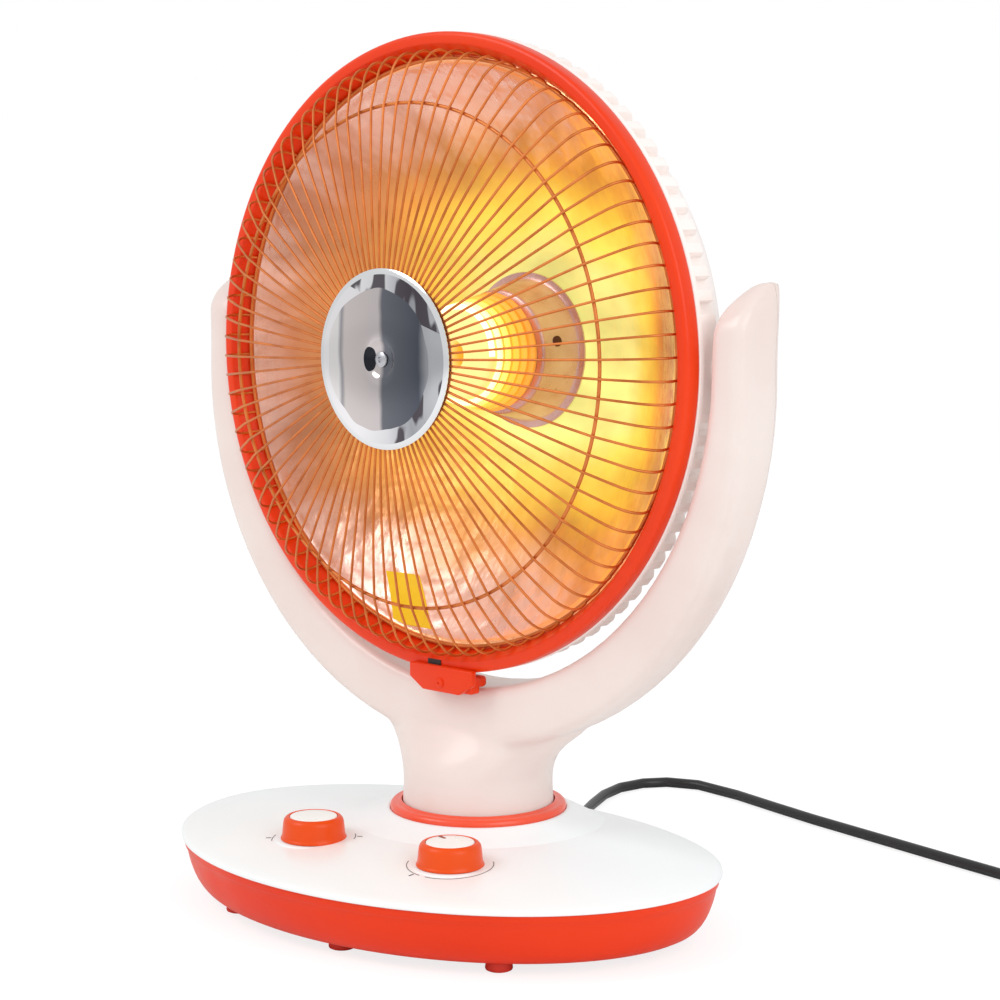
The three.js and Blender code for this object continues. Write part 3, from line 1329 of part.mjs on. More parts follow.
// ---------------------------------------------------------------- element
const CERAMIC_BACK = DISH_VERTEX + CERAMIC_STAND;
const CERAMIC_FRONT = CERAMIC_BACK + CERAMIC_LENGTH;
const coneRadius = (s) =>
  lerp(
    CERAMIC_BACK_RADIUS,
    CERAMIC_FRONT_RADIUS,
    (s - CERAMIC_BACK) / (CERAMIC_FRONT - CERAMIC_BACK),
  );
const CUP_FRONT = CERAMIC_BACK - GAP;
const CUP_BACK = dish(CUP_FLANGE_RADIUS) + 3 * GAP;
const CUP_LIP_RADIUS = CERAMIC_STEM_RADIUS + GAP;
const STEM_BACK = CUP_FRONT - STEM_LENGTH;
const BRACKET_FRONT = dish(REFLECTOR_APERTURE) - REFLECTOR_SHEET - GAP;

function ceramicCore() {
  return turned(
    [
      [CERAMIC_BORE_RADIUS, STEM_BACK],
      [CERAMIC_STEM_RADIUS, STEM_BACK],
      [CERAMIC_STEM_RADIUS, CERAMIC_BACK],
      [coneRadius(CERAMIC_BACK), CERAMIC_BACK],
      [coneRadius(CERAMIC_FRONT), CERAMIC_FRONT],
      [CERAMIC_FRONT_RADIUS - 3, CERAMIC_FRONT + 2],
      [CERAMIC_BORE_RADIUS, CERAMIC_FRONT + 2],
    ],
    24,
  );
}

// The glowing wire, one tube wound on the cone.
function windingPoints() {
  const start = CERAMIC_FRONT - WINDING_FRONT_EDGE - WINDING_RADIUS;
  const points = [];
  const total = WINDING_TURNS * WINDING_STEPS;
  for (let i = 0; i <= total; i++) {
    const turn = i / WINDING_STEPS;
    const s = start - turn * WINDING_PITCH;
    points.push(polar(coneRadius(s) + GAP + WINDING_RADIUS, turn * TAU, s));
  }
  return addLeads(points, 2 * WINDING_RADIUS);
}

function elementCup() {
  return turned(
    [
      [CUP_LIP_RADIUS, CUP_FRONT - CUP_THICKNESS],
      [CUP_FRONT_RADIUS - CUP_THICKNESS, CUP_FRONT - CUP_THICKNESS],
      [CUP_RADIUS - CUP_THICKNESS, CUP_BACK],
      [CUP_FLANGE_RADIUS, CUP_BACK],
      [CUP_FLANGE_RADIUS, CUP_BACK + CUP_THICKNESS],
      [CUP_RADIUS, CUP_BACK + CUP_THICKNESS],
      [CUP_FRONT_RADIUS, CUP_FRONT],
      [CUP_LIP_RADIUS, CUP_FRONT],
    ],
    22,
  );
}

function elementInsulator() {
  const top = STEM_BACK - GAP;
  const slots = [-1, 1].map((side) =>
    block(
      [side * TERMINAL_SPREAD - TERMINAL_WIDTH / 2 - GAP, -TERMINAL_THICKNESS / 2 - GAP, -FAR],
      [side * TERMINAL_SPREAD + TERMINAL_WIDTH / 2 + GAP, TERMINAL_THICKNESS / 2 + GAP, FAR],
    ),
  );
  return cut(rod(INSULATOR_RADIUS, BRACKET_FRONT + GAP, top, 28), ...slots);
}

function elementTerminal(side) {
  const top = STEM_BACK - GAP - 1;
  const x = side * TERMINAL_SPREAD;
  return block(
    [x - TERMINAL_WIDTH / 2, -TERMINAL_THICKNESS / 2, top - TERMINAL_LENGTH],
    [x + TERMINAL_WIDTH / 2, TERMINAL_THICKNESS / 2, top],
  );
}

// A plate behind the reflector that holds the insulator against the core.
function elementBracket() {
  const half = [BRACKET_WIDTH / 2, BRACKET_LENGTH / 2];
  const reach = TERMINAL_SPREAD + TERMINAL_WIDTH / 2 + 1;
  const low = BRACKET_FRONT - BRACKET_THICKNESS;
  const rods = [-1, 1].map((side) =>
    rod(TIE_ROD_RADIUS + GAP, low - 2, BRACKET_FRONT + 2, 12).translate(0, side * TIE_ROD_SPREAD, 0),
  );
  const window = block([-reach, -5, low - 1], [reach, 5, BRACKET_FRONT + 1]);
  return cut(
    block([-half[0], -half[1], low], [half[0], half[1], BRACKET_FRONT]),
    window,
    ...rods,
  );
}

function tieRod(side) {
  const low = -CASING_DEPTH + CASING_WALL + GAP;
  const shape = join(
    rod(TIE_ROD_RADIUS, low, BRACKET_FRONT - GAP, 12),
    rod(TIE_ROD_RADIUS + 1.6, low, BRACKET_FRONT - BRACKET_THICKNESS - GAP, 12),
  );
  return shape.translate(0, side * TIE_ROD_SPREAD, 0);
}

const winding = windingPoints();
console.log("heating coil, least gap between turns", leastGap(winding, 2 * WINDING_RADIUS).toFixed(2), "mm");
add(head, "ceramic_core", ceramicCore(), CERAMIC);
add(head, "heating_coil", tube(winding, WINDING_RADIUS, WINDING_SIDES), GLOWING_WIRE);
add(head, "element_cup", elementCup(), CUP_METAL);
add(head, "element_insulator", elementInsulator(), CERAMIC);
add(head, "element_bracket", elementBracket(), STEEL);
[
  ["left", -1],
  ["right", 1],
].forEach(([name, side]) => add(head, `element_terminal_${name}`, elementTerminal(side), BRASS));
[
  ["lower", -1],
  ["upper", 1],
].forEach(([name, side]) => add(head, `tie_rod_${name}`, tieRod(side), STEEL));

// ---------------------------------------------------------------- cord
// The coil: a flat spiral in, a climb of one layer over half a turn, and a spiral out.
function coilPoints() {
  const turns = COIL_TURNS_PER_LAYER;
  const total = 2 * turns * COIL_STEPS;
  const points = [];
  for (let i = 0; i <= total; i++) {
    const turn = i / COIL_STEPS;
    const inward = Math.min(turn, 2 * turns - turn);
    const radius = COIL_OUTER_RADIUS - COIL_TURN_PITCH * inward;
    const climb = smooth(turn, turns - 0.25, turns + 0.25);
    const angle = rad(COIL_START_DEG) + turn * TAU;
    const z = CORD_REST_HEIGHT + COIL_LAYER_PITCH * climb;
    points.push(polar(radius, angle, z).add(new THREE.Vector3(COIL_X, COIL_Y, 0)));
  }
  return addLeads(points, CORD_DIAMETER);
}

// The free stretch, one extruded section from the gland's tip to the coil.
function cordTube(coil) {
  const glandEnd = new THREE.Vector3(GLAND_X, GLAND_WALL_Y + GLAND_LENGTH + GAP, GLAND_HEIGHT);
  const heading = coil[1].clone().sub(coil[0]).setZ(0).normalize();
  const end = coil[0].clone().addScaledVector(heading, -GAP);
  const before = end.clone().addScaledVector(heading, -2 * CORD_DIAMETER);
  const after = glandEnd.clone().add(new THREE.Vector3(0, 1.5 * CORD_DIAMETER, 0));
  const route = CORD_ROUTE.map((p) => new THREE.Vector3(...p));
  const curve = new THREE.CatmullRomCurve3([glandEnd, after, ...route, before, end], false, "centripetal");
  const section = new THREE.Shape(
    Array.from({ length: CORD_SIDES }, (_, i) => {
      const p = polar(CORD_DIAMETER / 2, (TAU * (i + 0.5)) / CORD_SIDES);
      return new THREE.Vector2(p.x, p.y);
    }),
  );
  return facingOut(
    new THREE.ExtrudeGeometry(section, { extrudePath: curve, steps: CORD_STEPS, curveSegments: 1 }),
  );
}

// The plug lies beside the coil, in line with the coil's end.
function plugBody() {
  const neckEnd = PLUG_NECK_LENGTH;
  const [w, h] = [PLUG_WIDTH / 2, PLUG_HEIGHT / 2];
  const section = (halfW, halfH, x) =>
    Array.from({ length: 20 }, (_, i) => {
      const t = (TAU * (i + 0.5)) / 20;
      const bulge = (v) => Math.sign(v) * Math.pow(Math.abs(v), 0.6);
      return [x, halfW * bulge(Math.cos(t)), halfH * bulge(Math.sin(t))];
    });
  return loft([
    section(CORD_DIAMETER / 2 + 0.2, CORD_DIAMETER / 2 + 0.2, 0),
    section(PLUG_NECK_RADIUS, PLUG_NECK_RADIUS, neckEnd),
    section(w * 0.72, h * 0.9, neckEnd + 4),
    section(w, h, neckEnd + 12),
    section(w, h, neckEnd + PLUG_LENGTH - 2),
    section(w - 1.5, h - 1.5, neckEnd + PLUG_LENGTH),
  ]);
}

const coil = coilPoints();
console.log("cord coil, least gap between turns", leastGap(coil, CORD_DIAMETER).toFixed(2), "mm");
const cordGroup = new THREE.Group();
add(cordGroup, "cord", cordTube(coil), BLACK_RUBBER);
add(cordGroup, "cord_coil", tube(coil, CORD_DIAMETER / 2, COIL_SIDES), BLACK_RUBBER);
const coilEnd = coil[coil.length - 1];
const coilHeading = coilEnd.clone().sub(coil[coil.length - 2]).setZ(0).normalize();
const plug = new THREE.Group();
plug.position.copy(coilEnd).addScaledVector(coilHeading, GAP);
plug.rotation.z = Math.atan2(coilHeading.y, coilHeading.x);
add(plug, "plug_body", plugBody(), BLACK_RUBBER);
[
  ["left", 1],
  ["right", -1],
].forEach(([name, side]) => {
  const start = PLUG_NECK_LENGTH + PLUG_LENGTH + GAP;
  const pin = rod(PIN_RADIUS, start, start + PIN_LENGTH, 14).rotateY(Math.PI / 2);
  add(plug, `plug_pin_${name}`, pin, BRASS).position.y = side * PIN_SPREAD;
});
cordGroup.add(plug);

const group = new THREE.Group();
group.add(base, timer, mode, swivel, yoke, cordGroup);
export default group;
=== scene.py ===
# %% [markdown]
# # A parabolic heater
# A round metal dish sends the heat of a glowing coil forward. It hangs in a white yoke that
# swivels on an oval base with two knobs. The CAD part fixes every size and joint. This script
# dresses it: most shapes are remade with finer curves, and every surface gets a material.

import math

import bmesh
import bpy
from mathutils import Matrix, Vector


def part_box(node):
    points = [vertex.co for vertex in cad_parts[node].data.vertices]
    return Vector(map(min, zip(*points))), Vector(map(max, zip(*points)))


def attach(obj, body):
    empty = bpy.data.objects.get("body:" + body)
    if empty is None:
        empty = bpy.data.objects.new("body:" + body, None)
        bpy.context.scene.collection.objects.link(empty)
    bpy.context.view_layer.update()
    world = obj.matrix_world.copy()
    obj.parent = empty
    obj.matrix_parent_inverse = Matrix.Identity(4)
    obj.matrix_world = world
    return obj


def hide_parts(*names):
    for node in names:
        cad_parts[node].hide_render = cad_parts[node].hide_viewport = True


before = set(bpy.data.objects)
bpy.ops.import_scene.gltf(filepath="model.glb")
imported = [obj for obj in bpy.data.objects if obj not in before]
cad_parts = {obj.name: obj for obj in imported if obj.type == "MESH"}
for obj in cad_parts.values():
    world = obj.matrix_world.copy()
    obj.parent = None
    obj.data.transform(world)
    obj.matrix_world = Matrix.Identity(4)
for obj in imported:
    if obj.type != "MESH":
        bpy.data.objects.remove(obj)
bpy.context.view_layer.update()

# %% [markdown]
# ## The camera
# The lens, place and direction come from fitting the ring, the base and the yoke to the
# photograph. A long lens about 1.4 m away keeps the dish from looking stretched.

# %% Set the camera
MM = 0.001
CAMERA_PLACE = Vector((809.5, -1079.3, 402.3)) * MM
CAMERA_AIM = Vector((-0.5778, 0.8071, -0.1216))
bpy.ops.object.camera_add(
    location=CAMERA_PLACE, rotation=CAMERA_AIM.to_track_quat("-Z", "Y").to_euler())
camera = bpy.context.object
camera.data.sensor_width = 36
camera.data.lens = 86.08
camera.data.clip_end = 50
bpy.context.scene.camera = camera
print("camera distance", round((CAMERA_PLACE - Vector((0, 0, 0.25))).length, 3), "m")

# %% [markdown]
# ## Working in millimetres
# Two shapes cover most of this object. Round pieces are drawn as a ring that is extruded,
# resized and moved up its axis. The base and the yoke's arms aren't round, so their rings are
# extruded and then set point by point from a formula. Both start from a circle primitive.

# %% Helpers that shape a piece
COLUMN_Y = 29.56
PIVOT_HEIGHT = 319
REST_SWIVEL = math.radians(-6.9)
ON_COLUMN = Matrix.Translation((0, COLUMN_Y * MM, 0))
ON_YOKE = ON_COLUMN @ Matrix.Rotation(REST_SWIVEL, 4, "Z")
ON_HEAD = ON_YOKE @ Matrix.Translation((0, 0, PIVOT_HEIGHT * MM)) @ Matrix.Rotation(math.pi / 2, 4, "X")
NEARLY_ZERO = 0.01


def start_clean():
    """Leaves edit mode and selects nothing, so that the next operator acts on its own piece."""
    if bpy.context.object and bpy.context.object.mode != "OBJECT":
        bpy.ops.object.mode_set(mode="OBJECT")
    bpy.ops.object.select_all(action="DESELECT")


def pick(piece):
    start_clean()
    piece.select_set(True)
    bpy.context.view_layer.objects.active = piece


def close_up():
    """Merges what meets, points the faces outwards and leaves edit mode."""
    bpy.ops.mesh.select_all(action="SELECT")
    bpy.ops.mesh.remove_doubles(threshold=3 * NEARLY_ZERO * MM)
    bpy.ops.mesh.normals_make_consistent(inside=False)
    bpy.ops.object.mode_set(mode="OBJECT")


def turned(name, profile, steps=96):
    """A round piece from (radius, height) pairs in mm. It ends on the axis, or closes on itself."""
    points = [(max(r, NEARLY_ZERO), h) for r, h in profile]
    if profile[0][0] > 0:
        points.append(points[0])
    start_clean()
    bpy.ops.mesh.primitive_circle_add(vertices=steps, radius=points[0][0] * MM)
    piece = bpy.context.object
    piece.name = name
    bpy.ops.object.mode_set(mode="EDIT")
    bpy.ops.mesh.select_all(action="SELECT")
    bpy.ops.transform.translate(value=(0, 0, points[0][1] * MM))
    for (r0, h0), (r1, h1) in zip(points, points[1:]):
        bpy.ops.mesh.extrude_edges_move()
        if abs(r1 - r0) > 1e-9:
            bpy.ops.transform.resize(value=(r1 / r0, r1 / r0, 1))
        if abs(h1 - h0) > 1e-9:
            bpy.ops.transform.translate(value=(0, 0, (h1 - h0) * MM))
    close_up()
    return piece


def swept(name, rings, closed=False):
    """A piece from rings of equal count, in mm. Open ends are filled."""
    start_clean()
    bpy.ops.mesh.primitive_circle_add(vertices=len(rings[0]), radius=MM)
    piece = bpy.context.object
    piece.name = name
    bpy.ops.object.mode_set(mode="EDIT")
    shape = bmesh.from_edit_mesh(piece.data)
    spot = shape.verts.layers.int.new("spot")
    for i, vert in enumerate(shape.verts):
        vert[spot] = i
        vert.co = Vector(rings[0][i]) * MM
    bpy.ops.mesh.select_all(action="SELECT")
    if not closed:
        bpy.ops.mesh.edge_face_add()
        bpy.ops.mesh.select_all(action="SELECT")
    path = rings[1:] + ([rings[0]] if closed else [])
    for number, ring in enumerate(path):
        bpy.ops.mesh.extrude_edges_move() if number or closed else bpy.ops.mesh.extrude_region_move()
        shape = bmesh.from_edit_mesh(piece.data)
        spot = shape.verts.layers.int["spot"]
        for vert in shape.verts:
            if vert.select:
                vert.co = Vector(ring[vert[spot]]) * MM
    bmesh.update_edit_mesh(piece.data)
    if not closed:
        bpy.ops.mesh.edge_face_add()
    close_up()
    piece.data.attributes.remove(piece.data.attributes["spot"])
    return piece


def modify(piece, kind, **settings):
    """Adds one modifier and applies it."""
    pick(piece)
    modifier = piece.modifiers.new(kind.title(), kind)
    for key, value in settings.items():
        setattr(modifier, key, value)
    bpy.ops.object.modifier_apply(modifier=modifier.name)
    return piece


def round_edges(piece, width, segments=3, angle=25):
    return modify(
        piece, "BEVEL", width=width * MM, segments=segments, limit_method="ANGLE",
        angle_limit=math.radians(angle), use_clamp_overlap=True)


def block(name, low, high):
    """A box from its low corner to its high corner, in mm."""
    start_clean()
    middle = [(a + b) / 2 * MM for a, b in zip(low, high)]
    bpy.ops.mesh.primitive_cube_add(size=1, location=middle)
    piece = bpy.context.object
    piece.name = name
    piece.scale = [(b - a) * MM for a, b in zip(low, high)]
    bpy.ops.object.transform_apply(location=True, rotation=True, scale=True)
    return piece


def join(first, *others):
    pick(first)
    for other in others:
        other.select_set(True)
    bpy.ops.object.join()
    return first


def copy_of(piece, place):
    """A copy with its own mesh, moved by a matrix."""
    twin = piece.copy()
    twin.data = piece.data.copy()
    bpy.context.collection.objects.link(twin)
    twin.data.transform(place)
    return twin


PLACES = {"yoke": ON_YOKE, "head": ON_HEAD}


def finish_piece(piece, body, material, slot, *nodes, place=None, smooth=30):
    """Puts a piece in place, smooths it, paints it and gives it to its body."""
    piece.data.transform(place or PLACES.get(body, Matrix()))
    pick(piece)
    bpy.ops.object.shade_smooth_by_angle(angle=math.radians(smooth))
    piece.data.materials.clear()
    piece.data.materials.append(material)
    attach(piece, body)
    if nodes:
        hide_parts(*nodes)
    print(piece.name, "on", body, len(piece.data.polygons), "faces")


print("tilt pivot", [round(c, 4) for c in ON_HEAD.translation])


# %% [markdown]
# ## The mains cord
# The cord leaves the base at the back, drops to the floor, bends round behind the heater and runs
# off to the right. The rest is wound in a flat coil of two layers, out of the picture, with the
# plug beside it. The route repeats the CAD's points, smoothed into one curve, so that the cord
# has one length from the gland to the plug.

# %% Lay out the cord's route
CORD_DIAMETER = 6.8
CORD_REST = CORD_DIAMETER / 2 + 0.1
GLAND_X = -30
GLAND_Z = 16
GLAND_TIP_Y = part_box("cord_gland")[1][1] / MM
FREE_ROUTE = [
    (-32, 155, 12), (-35, 172, 7.5), (-40, 190, 4.4), (-46, 210, CORD_REST),
    (-55, 235, CORD_REST), (-63, 262, CORD_REST), (-65, 285, CORD_REST), (-59, 305, CORD_REST),
    (-47, 317.6, CORD_REST), (-25, 323.3, CORD_REST), (12, 313.7, CORD_REST), (50, 299, CORD_REST),
    (85, 286, CORD_REST), (125, 273, CORD_REST), (165, 260, CORD_REST), (205, 247, CORD_REST),
    (240, 236, CORD_REST),
]
COIL_X = 288
COIL_Y = 272
COIL_RADIUS = 47
COIL_TURNS = 2.1
COIL_PITCH = 7.5
LAYER_PITCH = 7.4
COIL_START = math.radians(254)
POINTS_PER_TURN = 24


def ease(value, low, high):
    share = min(1, max(0, (value - low) / (high - low)))
    return share * share * (3 - 2 * share)


def coil_route():
    """Two flat layers: in from the rim, up one cord, and out again."""
    points = []
    for i in range(round(2 * COIL_TURNS * POINTS_PER_TURN) + 1):
        turn = i / POINTS_PER_TURN
        radius = COIL_RADIUS - COIL_PITCH * min(turn, 2 * COIL_TURNS - turn)
        angle = COIL_START + turn * math.tau
        height = CORD_REST + LAYER_PITCH * ease(turn, COIL_TURNS - 0.25, COIL_TURNS + 0.25)
        points.append(Vector((
            COIL_X + radius * math.cos(angle), COIL_Y + radius * math.sin(angle), height)))
    return points


coil_points = coil_route()
coil_end = coil_points[-1]
coil_heading = (coil_end - coil_points[-2]).to_2d().normalized().to_3d()
coil_points.append(coil_end + coil_heading * CORD_DIAMETER)
gland_exit = Vector((GLAND_X, GLAND_TIP_Y, GLAND_Z))
cord_points = [gland_exit, gland_exit + Vector((0, 0.8 * CORD_DIAMETER, 0))]
cord_points += [Vector(p) for p in FREE_ROUTE] + coil_points

# %% [markdown]
# ### One curve for the whole cord
# A curve with a round section follows the route, so the cord keeps one thickness from the gland
# to the plug.

# %% Make the cord as a curve with a round section
cord_curve = bpy.data.curves.new("mains_cord", "CURVE")
cord_curve.dimensions = "3D"
cord_line = cord_curve.splines.new("POLY")
cord_line.points.add(len(cord_points) - 1)
for spot, point in zip(cord_line.points, cord_points):
    spot.co = (*(point * MM), 1)
cord_curve.bevel_depth = CORD_DIAMETER / 2 * MM
cord_curve.bevel_resolution = 5
cord_curve.use_fill_caps = True
mains_cord = bpy.data.objects.new("mains_cord", cord_curve)
bpy.context.collection.objects.link(mains_cord)
cord_line.use_smooth = True
print("cord points", len(cord_points))

# %% [markdown]
# ## Materials
# Every finish is mixed from noise and ramps on the Principled shader. The plastics get a faint
# ripple and a little uneven gloss, as moulded parts have. Colours are written as the screen shows
# them and turned to linear light here.

# %% Helpers that mix a material


def linear(colour):
    """Linear light from an 8-bit screen colour, or from one grey level that is linear already."""
    if isinstance(colour, (int, float)):
        return (colour, colour, colour, 1)
    shares = [c / 255 for c in colour]
    return tuple(c / 12.92 if c <= 0.04045 else ((c + 0.055) / 1.055) ** 2.4 for c in shares) + (1,)


def bare(name, colour, roughness, metallic=0.0, coat=0.0):
    """A Principled material with constant sockets, and its node tree."""
    material = bpy.data.materials.new(name)
    material.use_nodes = True
    shader = material.node_tree.nodes["Principled BSDF"]
    shader.inputs["Base Color"].default_value = linear(colour)
    shader.inputs["Roughness"].default_value = roughness
    shader.inputs["Metallic"].default_value = metallic
    shader.inputs["Coat Weight"].default_value = coat
    shader.inputs["Coat Roughness"].default_value = 0.12
    return material, material.node_tree, shader


def noise(tree, scale, detail=3, stretch=(1, 1, 1)):
    """Noise on Object coordinates through a Mapping node; returns its factor."""
    place = tree.nodes.new("ShaderNodeTexCoord")
    mapping = tree.nodes.new("ShaderNodeMapping")
    mapping.inputs["Scale"].default_value = stretch
    grain = tree.nodes.new("ShaderNodeTexNoise")
    grain.inputs["Scale"].default_value = scale
    grain.inputs["Detail"].default_value = detail
    tree.links.new(place.outputs["Object"], mapping.inputs["Vector"])
    tree.links.new(mapping.outputs["Vector"], grain.inputs["Vector"])
    return grain.outputs["Fac"]


def ramp(tree, factor, *stops):
    """A colour ramp; each stop is (place, colour or grey level)."""
    band = tree.nodes.new("ShaderNodeValToRGB")
    stops_made = band.color_ramp.elements
    for stop, (place, colour) in zip(stops_made, (stops[0], stops[-1])):
        stop.position, stop.color = place, linear(colour)
    for place, colour in stops[1:-1]:
        stops_made.new(place).color = linear(colour)
    tree.links.new(factor, band.inputs["Fac"])
    return band.outputs["Color"]


def bumpy(tree, shader, factor, height, strength=0.5):
    bump = tree.nodes.new("ShaderNodeBump")
    bump.inputs["Strength"].default_value = strength
    bump.inputs["Distance"].default_value = height * MM
    tree.links.new(factor, bump.inputs["Height"])
    tree.links.new(bump.outputs["Normal"], shader.inputs["Normal"])


def moulded(name, colour, shade, roughness, coat=0.2):
    """Moulded plastic: two close colours in large clouds, uneven gloss and a faint ripple."""
    material, tree, shader = bare(name, colour, roughness, coat=coat)
    clouds = noise(tree, 9, 4)
    tree.links.new(ramp(tree, clouds, (0.35, shade), (0.65, colour)), shader.inputs["Base Color"])
    gloss = ramp(tree, noise(tree, 40), (0.3, roughness - 0.05), (0.7, roughness + 0.06))
    tree.links.new(gloss, shader.inputs["Roughness"])
    bumpy(tree, shader, noise(tree, 55, 2), 0.12, 0.25)
    return material


def metal(name, colour, shade, roughness, scale=60, stretch=(1, 1, 1), metallic=1.0):
    """Metal with fine streaks or clouds in its colour and gloss."""
    material, tree, shader = bare(name, colour, roughness, metallic=metallic)
    streak = noise(tree, scale, 5, stretch)
    tree.links.new(ramp(tree, streak, (0.3, shade), (0.7, colour)), shader.inputs["Base Color"])
    gloss = ramp(tree, streak, (0.3, roughness * 0.7), (0.7, roughness * 1.35))
    tree.links.new(gloss, shader.inputs["Roughness"])
    bumpy(tree, shader, streak, 0.05, 0.3)
    return material


print("middle grey as light", round(linear((128, 128, 128))[0], 3))

# %% [markdown]
# ### Plastics, rubber and plain metals
# Each colour was compared with the photograph patch by patch. The oranges get little gloss,
# because the white studio would wash them pink. The casing has a very faint painted glow, like
# thin white plastic with light behind it, which lightens the shade between its fins.

# %% Mix the plain finishes
plate_white = moulded("plate_white", (250, 254, 255), (246, 251, 252), 0.34, 0.15)
yoke_white = moulded("yoke_white", (242, 230, 224), (236, 219, 212), 0.36, 0.2)
casing_white = moulded("casing_white", (248, 240, 236), (243, 233, 228), 0.36)
# A very faint painted glow lightens the shade between the casing's fins.
casing_shader = casing_white.node_tree.nodes["Principled BSDF"]
casing_shader.inputs["Emission Color"].default_value = linear((255, 244, 240))
casing_shader.inputs["Emission Strength"].default_value = 0.1
cap_white = moulded("cap_white", (251, 255, 254), (248, 252, 250), 0.28, 0.3)
tub_orange = moulded("tub_orange", (240, 57, 0), (231, 50, 0), 0.36, 0.04)
ring_orange = moulded("ring_orange", (242, 63, 0), (234, 54, 0), 0.34, 0.06)
knob_orange = moulded("knob_orange", (238, 80, 2), (231, 72, 0), 0.34, 0.06)
collar_orange = moulded("collar_orange", (248, 88, 52), (242, 76, 42), 0.3, 0.2)
foot_red = moulded("foot_red", (226, 60, 38), (206, 48, 30), 0.55, 0.0)
cord_black = moulded("cord_black", (26, 26, 28), (18, 18, 20), 0.36, 0.1)
plug_black = moulded("plug_black", (30, 30, 32), (22, 22, 24), 0.5, 0.0)
inner_black = moulded("inner_black", (52, 48, 46), (42, 39, 37), 0.6, 0.0)
fibre_brown = moulded("fibre_brown", (176, 132, 116), (150, 108, 94), 0.7, 0.0)
dial_grey = moulded("dial_grey", (96, 92, 92), (82, 78, 78), 0.5, 0.0)
pointer_red = moulded("pointer_red", (150, 62, 44), (132, 50, 36), 0.45, 0.0)
deep_red = moulded("deep_red", (84, 26, 16), (66, 20, 14), 0.6, 0.0)
patch_yellow = moulded("patch_yellow", (255, 218, 0), (250, 206, 0), 0.6, 0.0)
zinc = metal("zinc", (206, 206, 210), (176, 178, 184), 0.34)
brass = metal("brass", (222, 186, 104), (196, 156, 76), 0.28)
guard_copper = metal("guard_copper", (230, 138, 72), (190, 104, 46), 0.4, metallic=0.6)
hot_cup = metal("hot_cup", (238, 210, 208), (198, 150, 138), 0.3, 30, metallic=0.6)
for finish in (tub_orange, ring_orange, knob_orange):
    finish.node_tree.nodes["Principled BSDF"].inputs["Specular IOR Level"].default_value = 0.3
print("plain finishes", len(bpy.data.materials))

# %% [markdown]
# ### Colour by place
# The dish, the cone, the wire and the cap change colour with their distance from the head's axis,
# or ahead of its tilt pivot. A Mapping node moves Object coordinates to that pivot, and a few
# math nodes measure from there.

# %% Place a colour by where it lies on the head


def maths(tree, operation, *values):
    """One math node; numbers and sockets may be mixed."""
    node = tree.nodes.new("ShaderNodeMath")
    node.operation = operation
    for socket, value in zip(node.inputs, values):
        if isinstance(value, (int, float)):
            socket.default_value = value
        else:
            tree.links.new(value, socket)
    return node.outputs[0]


def head_spot(tree):
    """Distances in metres across, up and ahead of the tilt pivot, as three sockets."""
    place = tree.nodes.new("ShaderNodeTexCoord")
    centre = tree.nodes.new("ShaderNodeMapping")
    centre.vector_type = "TEXTURE"
    centre.inputs["Location"].default_value = ON_HEAD.translation
    centre.inputs["Rotation"].default_value = (0, 0, REST_SWIVEL)
    split = tree.nodes.new("ShaderNodeSeparateXYZ")
    tree.links.new(place.outputs["Object"], centre.inputs["Vector"])
    tree.links.new(centre.outputs["Vector"], split.inputs["Vector"])
    return split.outputs["X"], split.outputs["Z"], maths(tree, "MULTIPLY", split.outputs["Y"], -1)


def distance(tree, across, up):
    squares = [maths(tree, "POWER", maths(tree, "ABSOLUTE", v), 2) for v in (across, up)]
    return maths(tree, "SQRT", maths(tree, "ADD", *squares))


def blend(tree, factor, first, second):
    """Mixes two colours; each is a screen colour or a socket."""
    node = tree.nodes.new("ShaderNodeMix")
    node.data_type = "RGBA"
    colour_a, colour_b = [i for i in node.inputs if i.type == "RGBA"]
    tree.links.new(factor, node.inputs[0])
    for socket, value in ((colour_a, first), (colour_b, second)):
        if isinstance(value, tuple):
            socket.default_value = linear(value)
        else:
            tree.links.new(value, socket)
    return [o for o in node.outputs if o.type == "RGBA"][0]


print("measured from", tuple(round(c / MM, 1) for c in ON_HEAD.translation), "mm")

# %% [markdown]
# ### The reflector's metal and its painted glow
# The dish is thin bright aluminium, crumpled by the press into soft facets. The coil's light on it
# is painted: a painted glow and a painted reflection in its base colour, gold near the hot coil and
# cooling to a pinkish silver at its rim, with a painted highlight on the rolled rim. The painted gold
# reaches further to the right, where the camera sees the cup's side of the dish. Noise dents it, and
# noise that runs along the radius paints silvery glints as rays.

# %% Mix the reflector
DISH_EDGE = 0.1632
DISH_REACH = 0.18
GLOW_SHIFT = 0.004
RIGHT_PULL = 0.5
RIGHT_FALL = 8000
RAY_SCALE = 6
GLINT_FROM = 0.22
GLINT_FULL = 0.4
GLOW_LEAST = 0.3
GLOW_SWING = 1.3
DENT_HEIGHT = 2.6


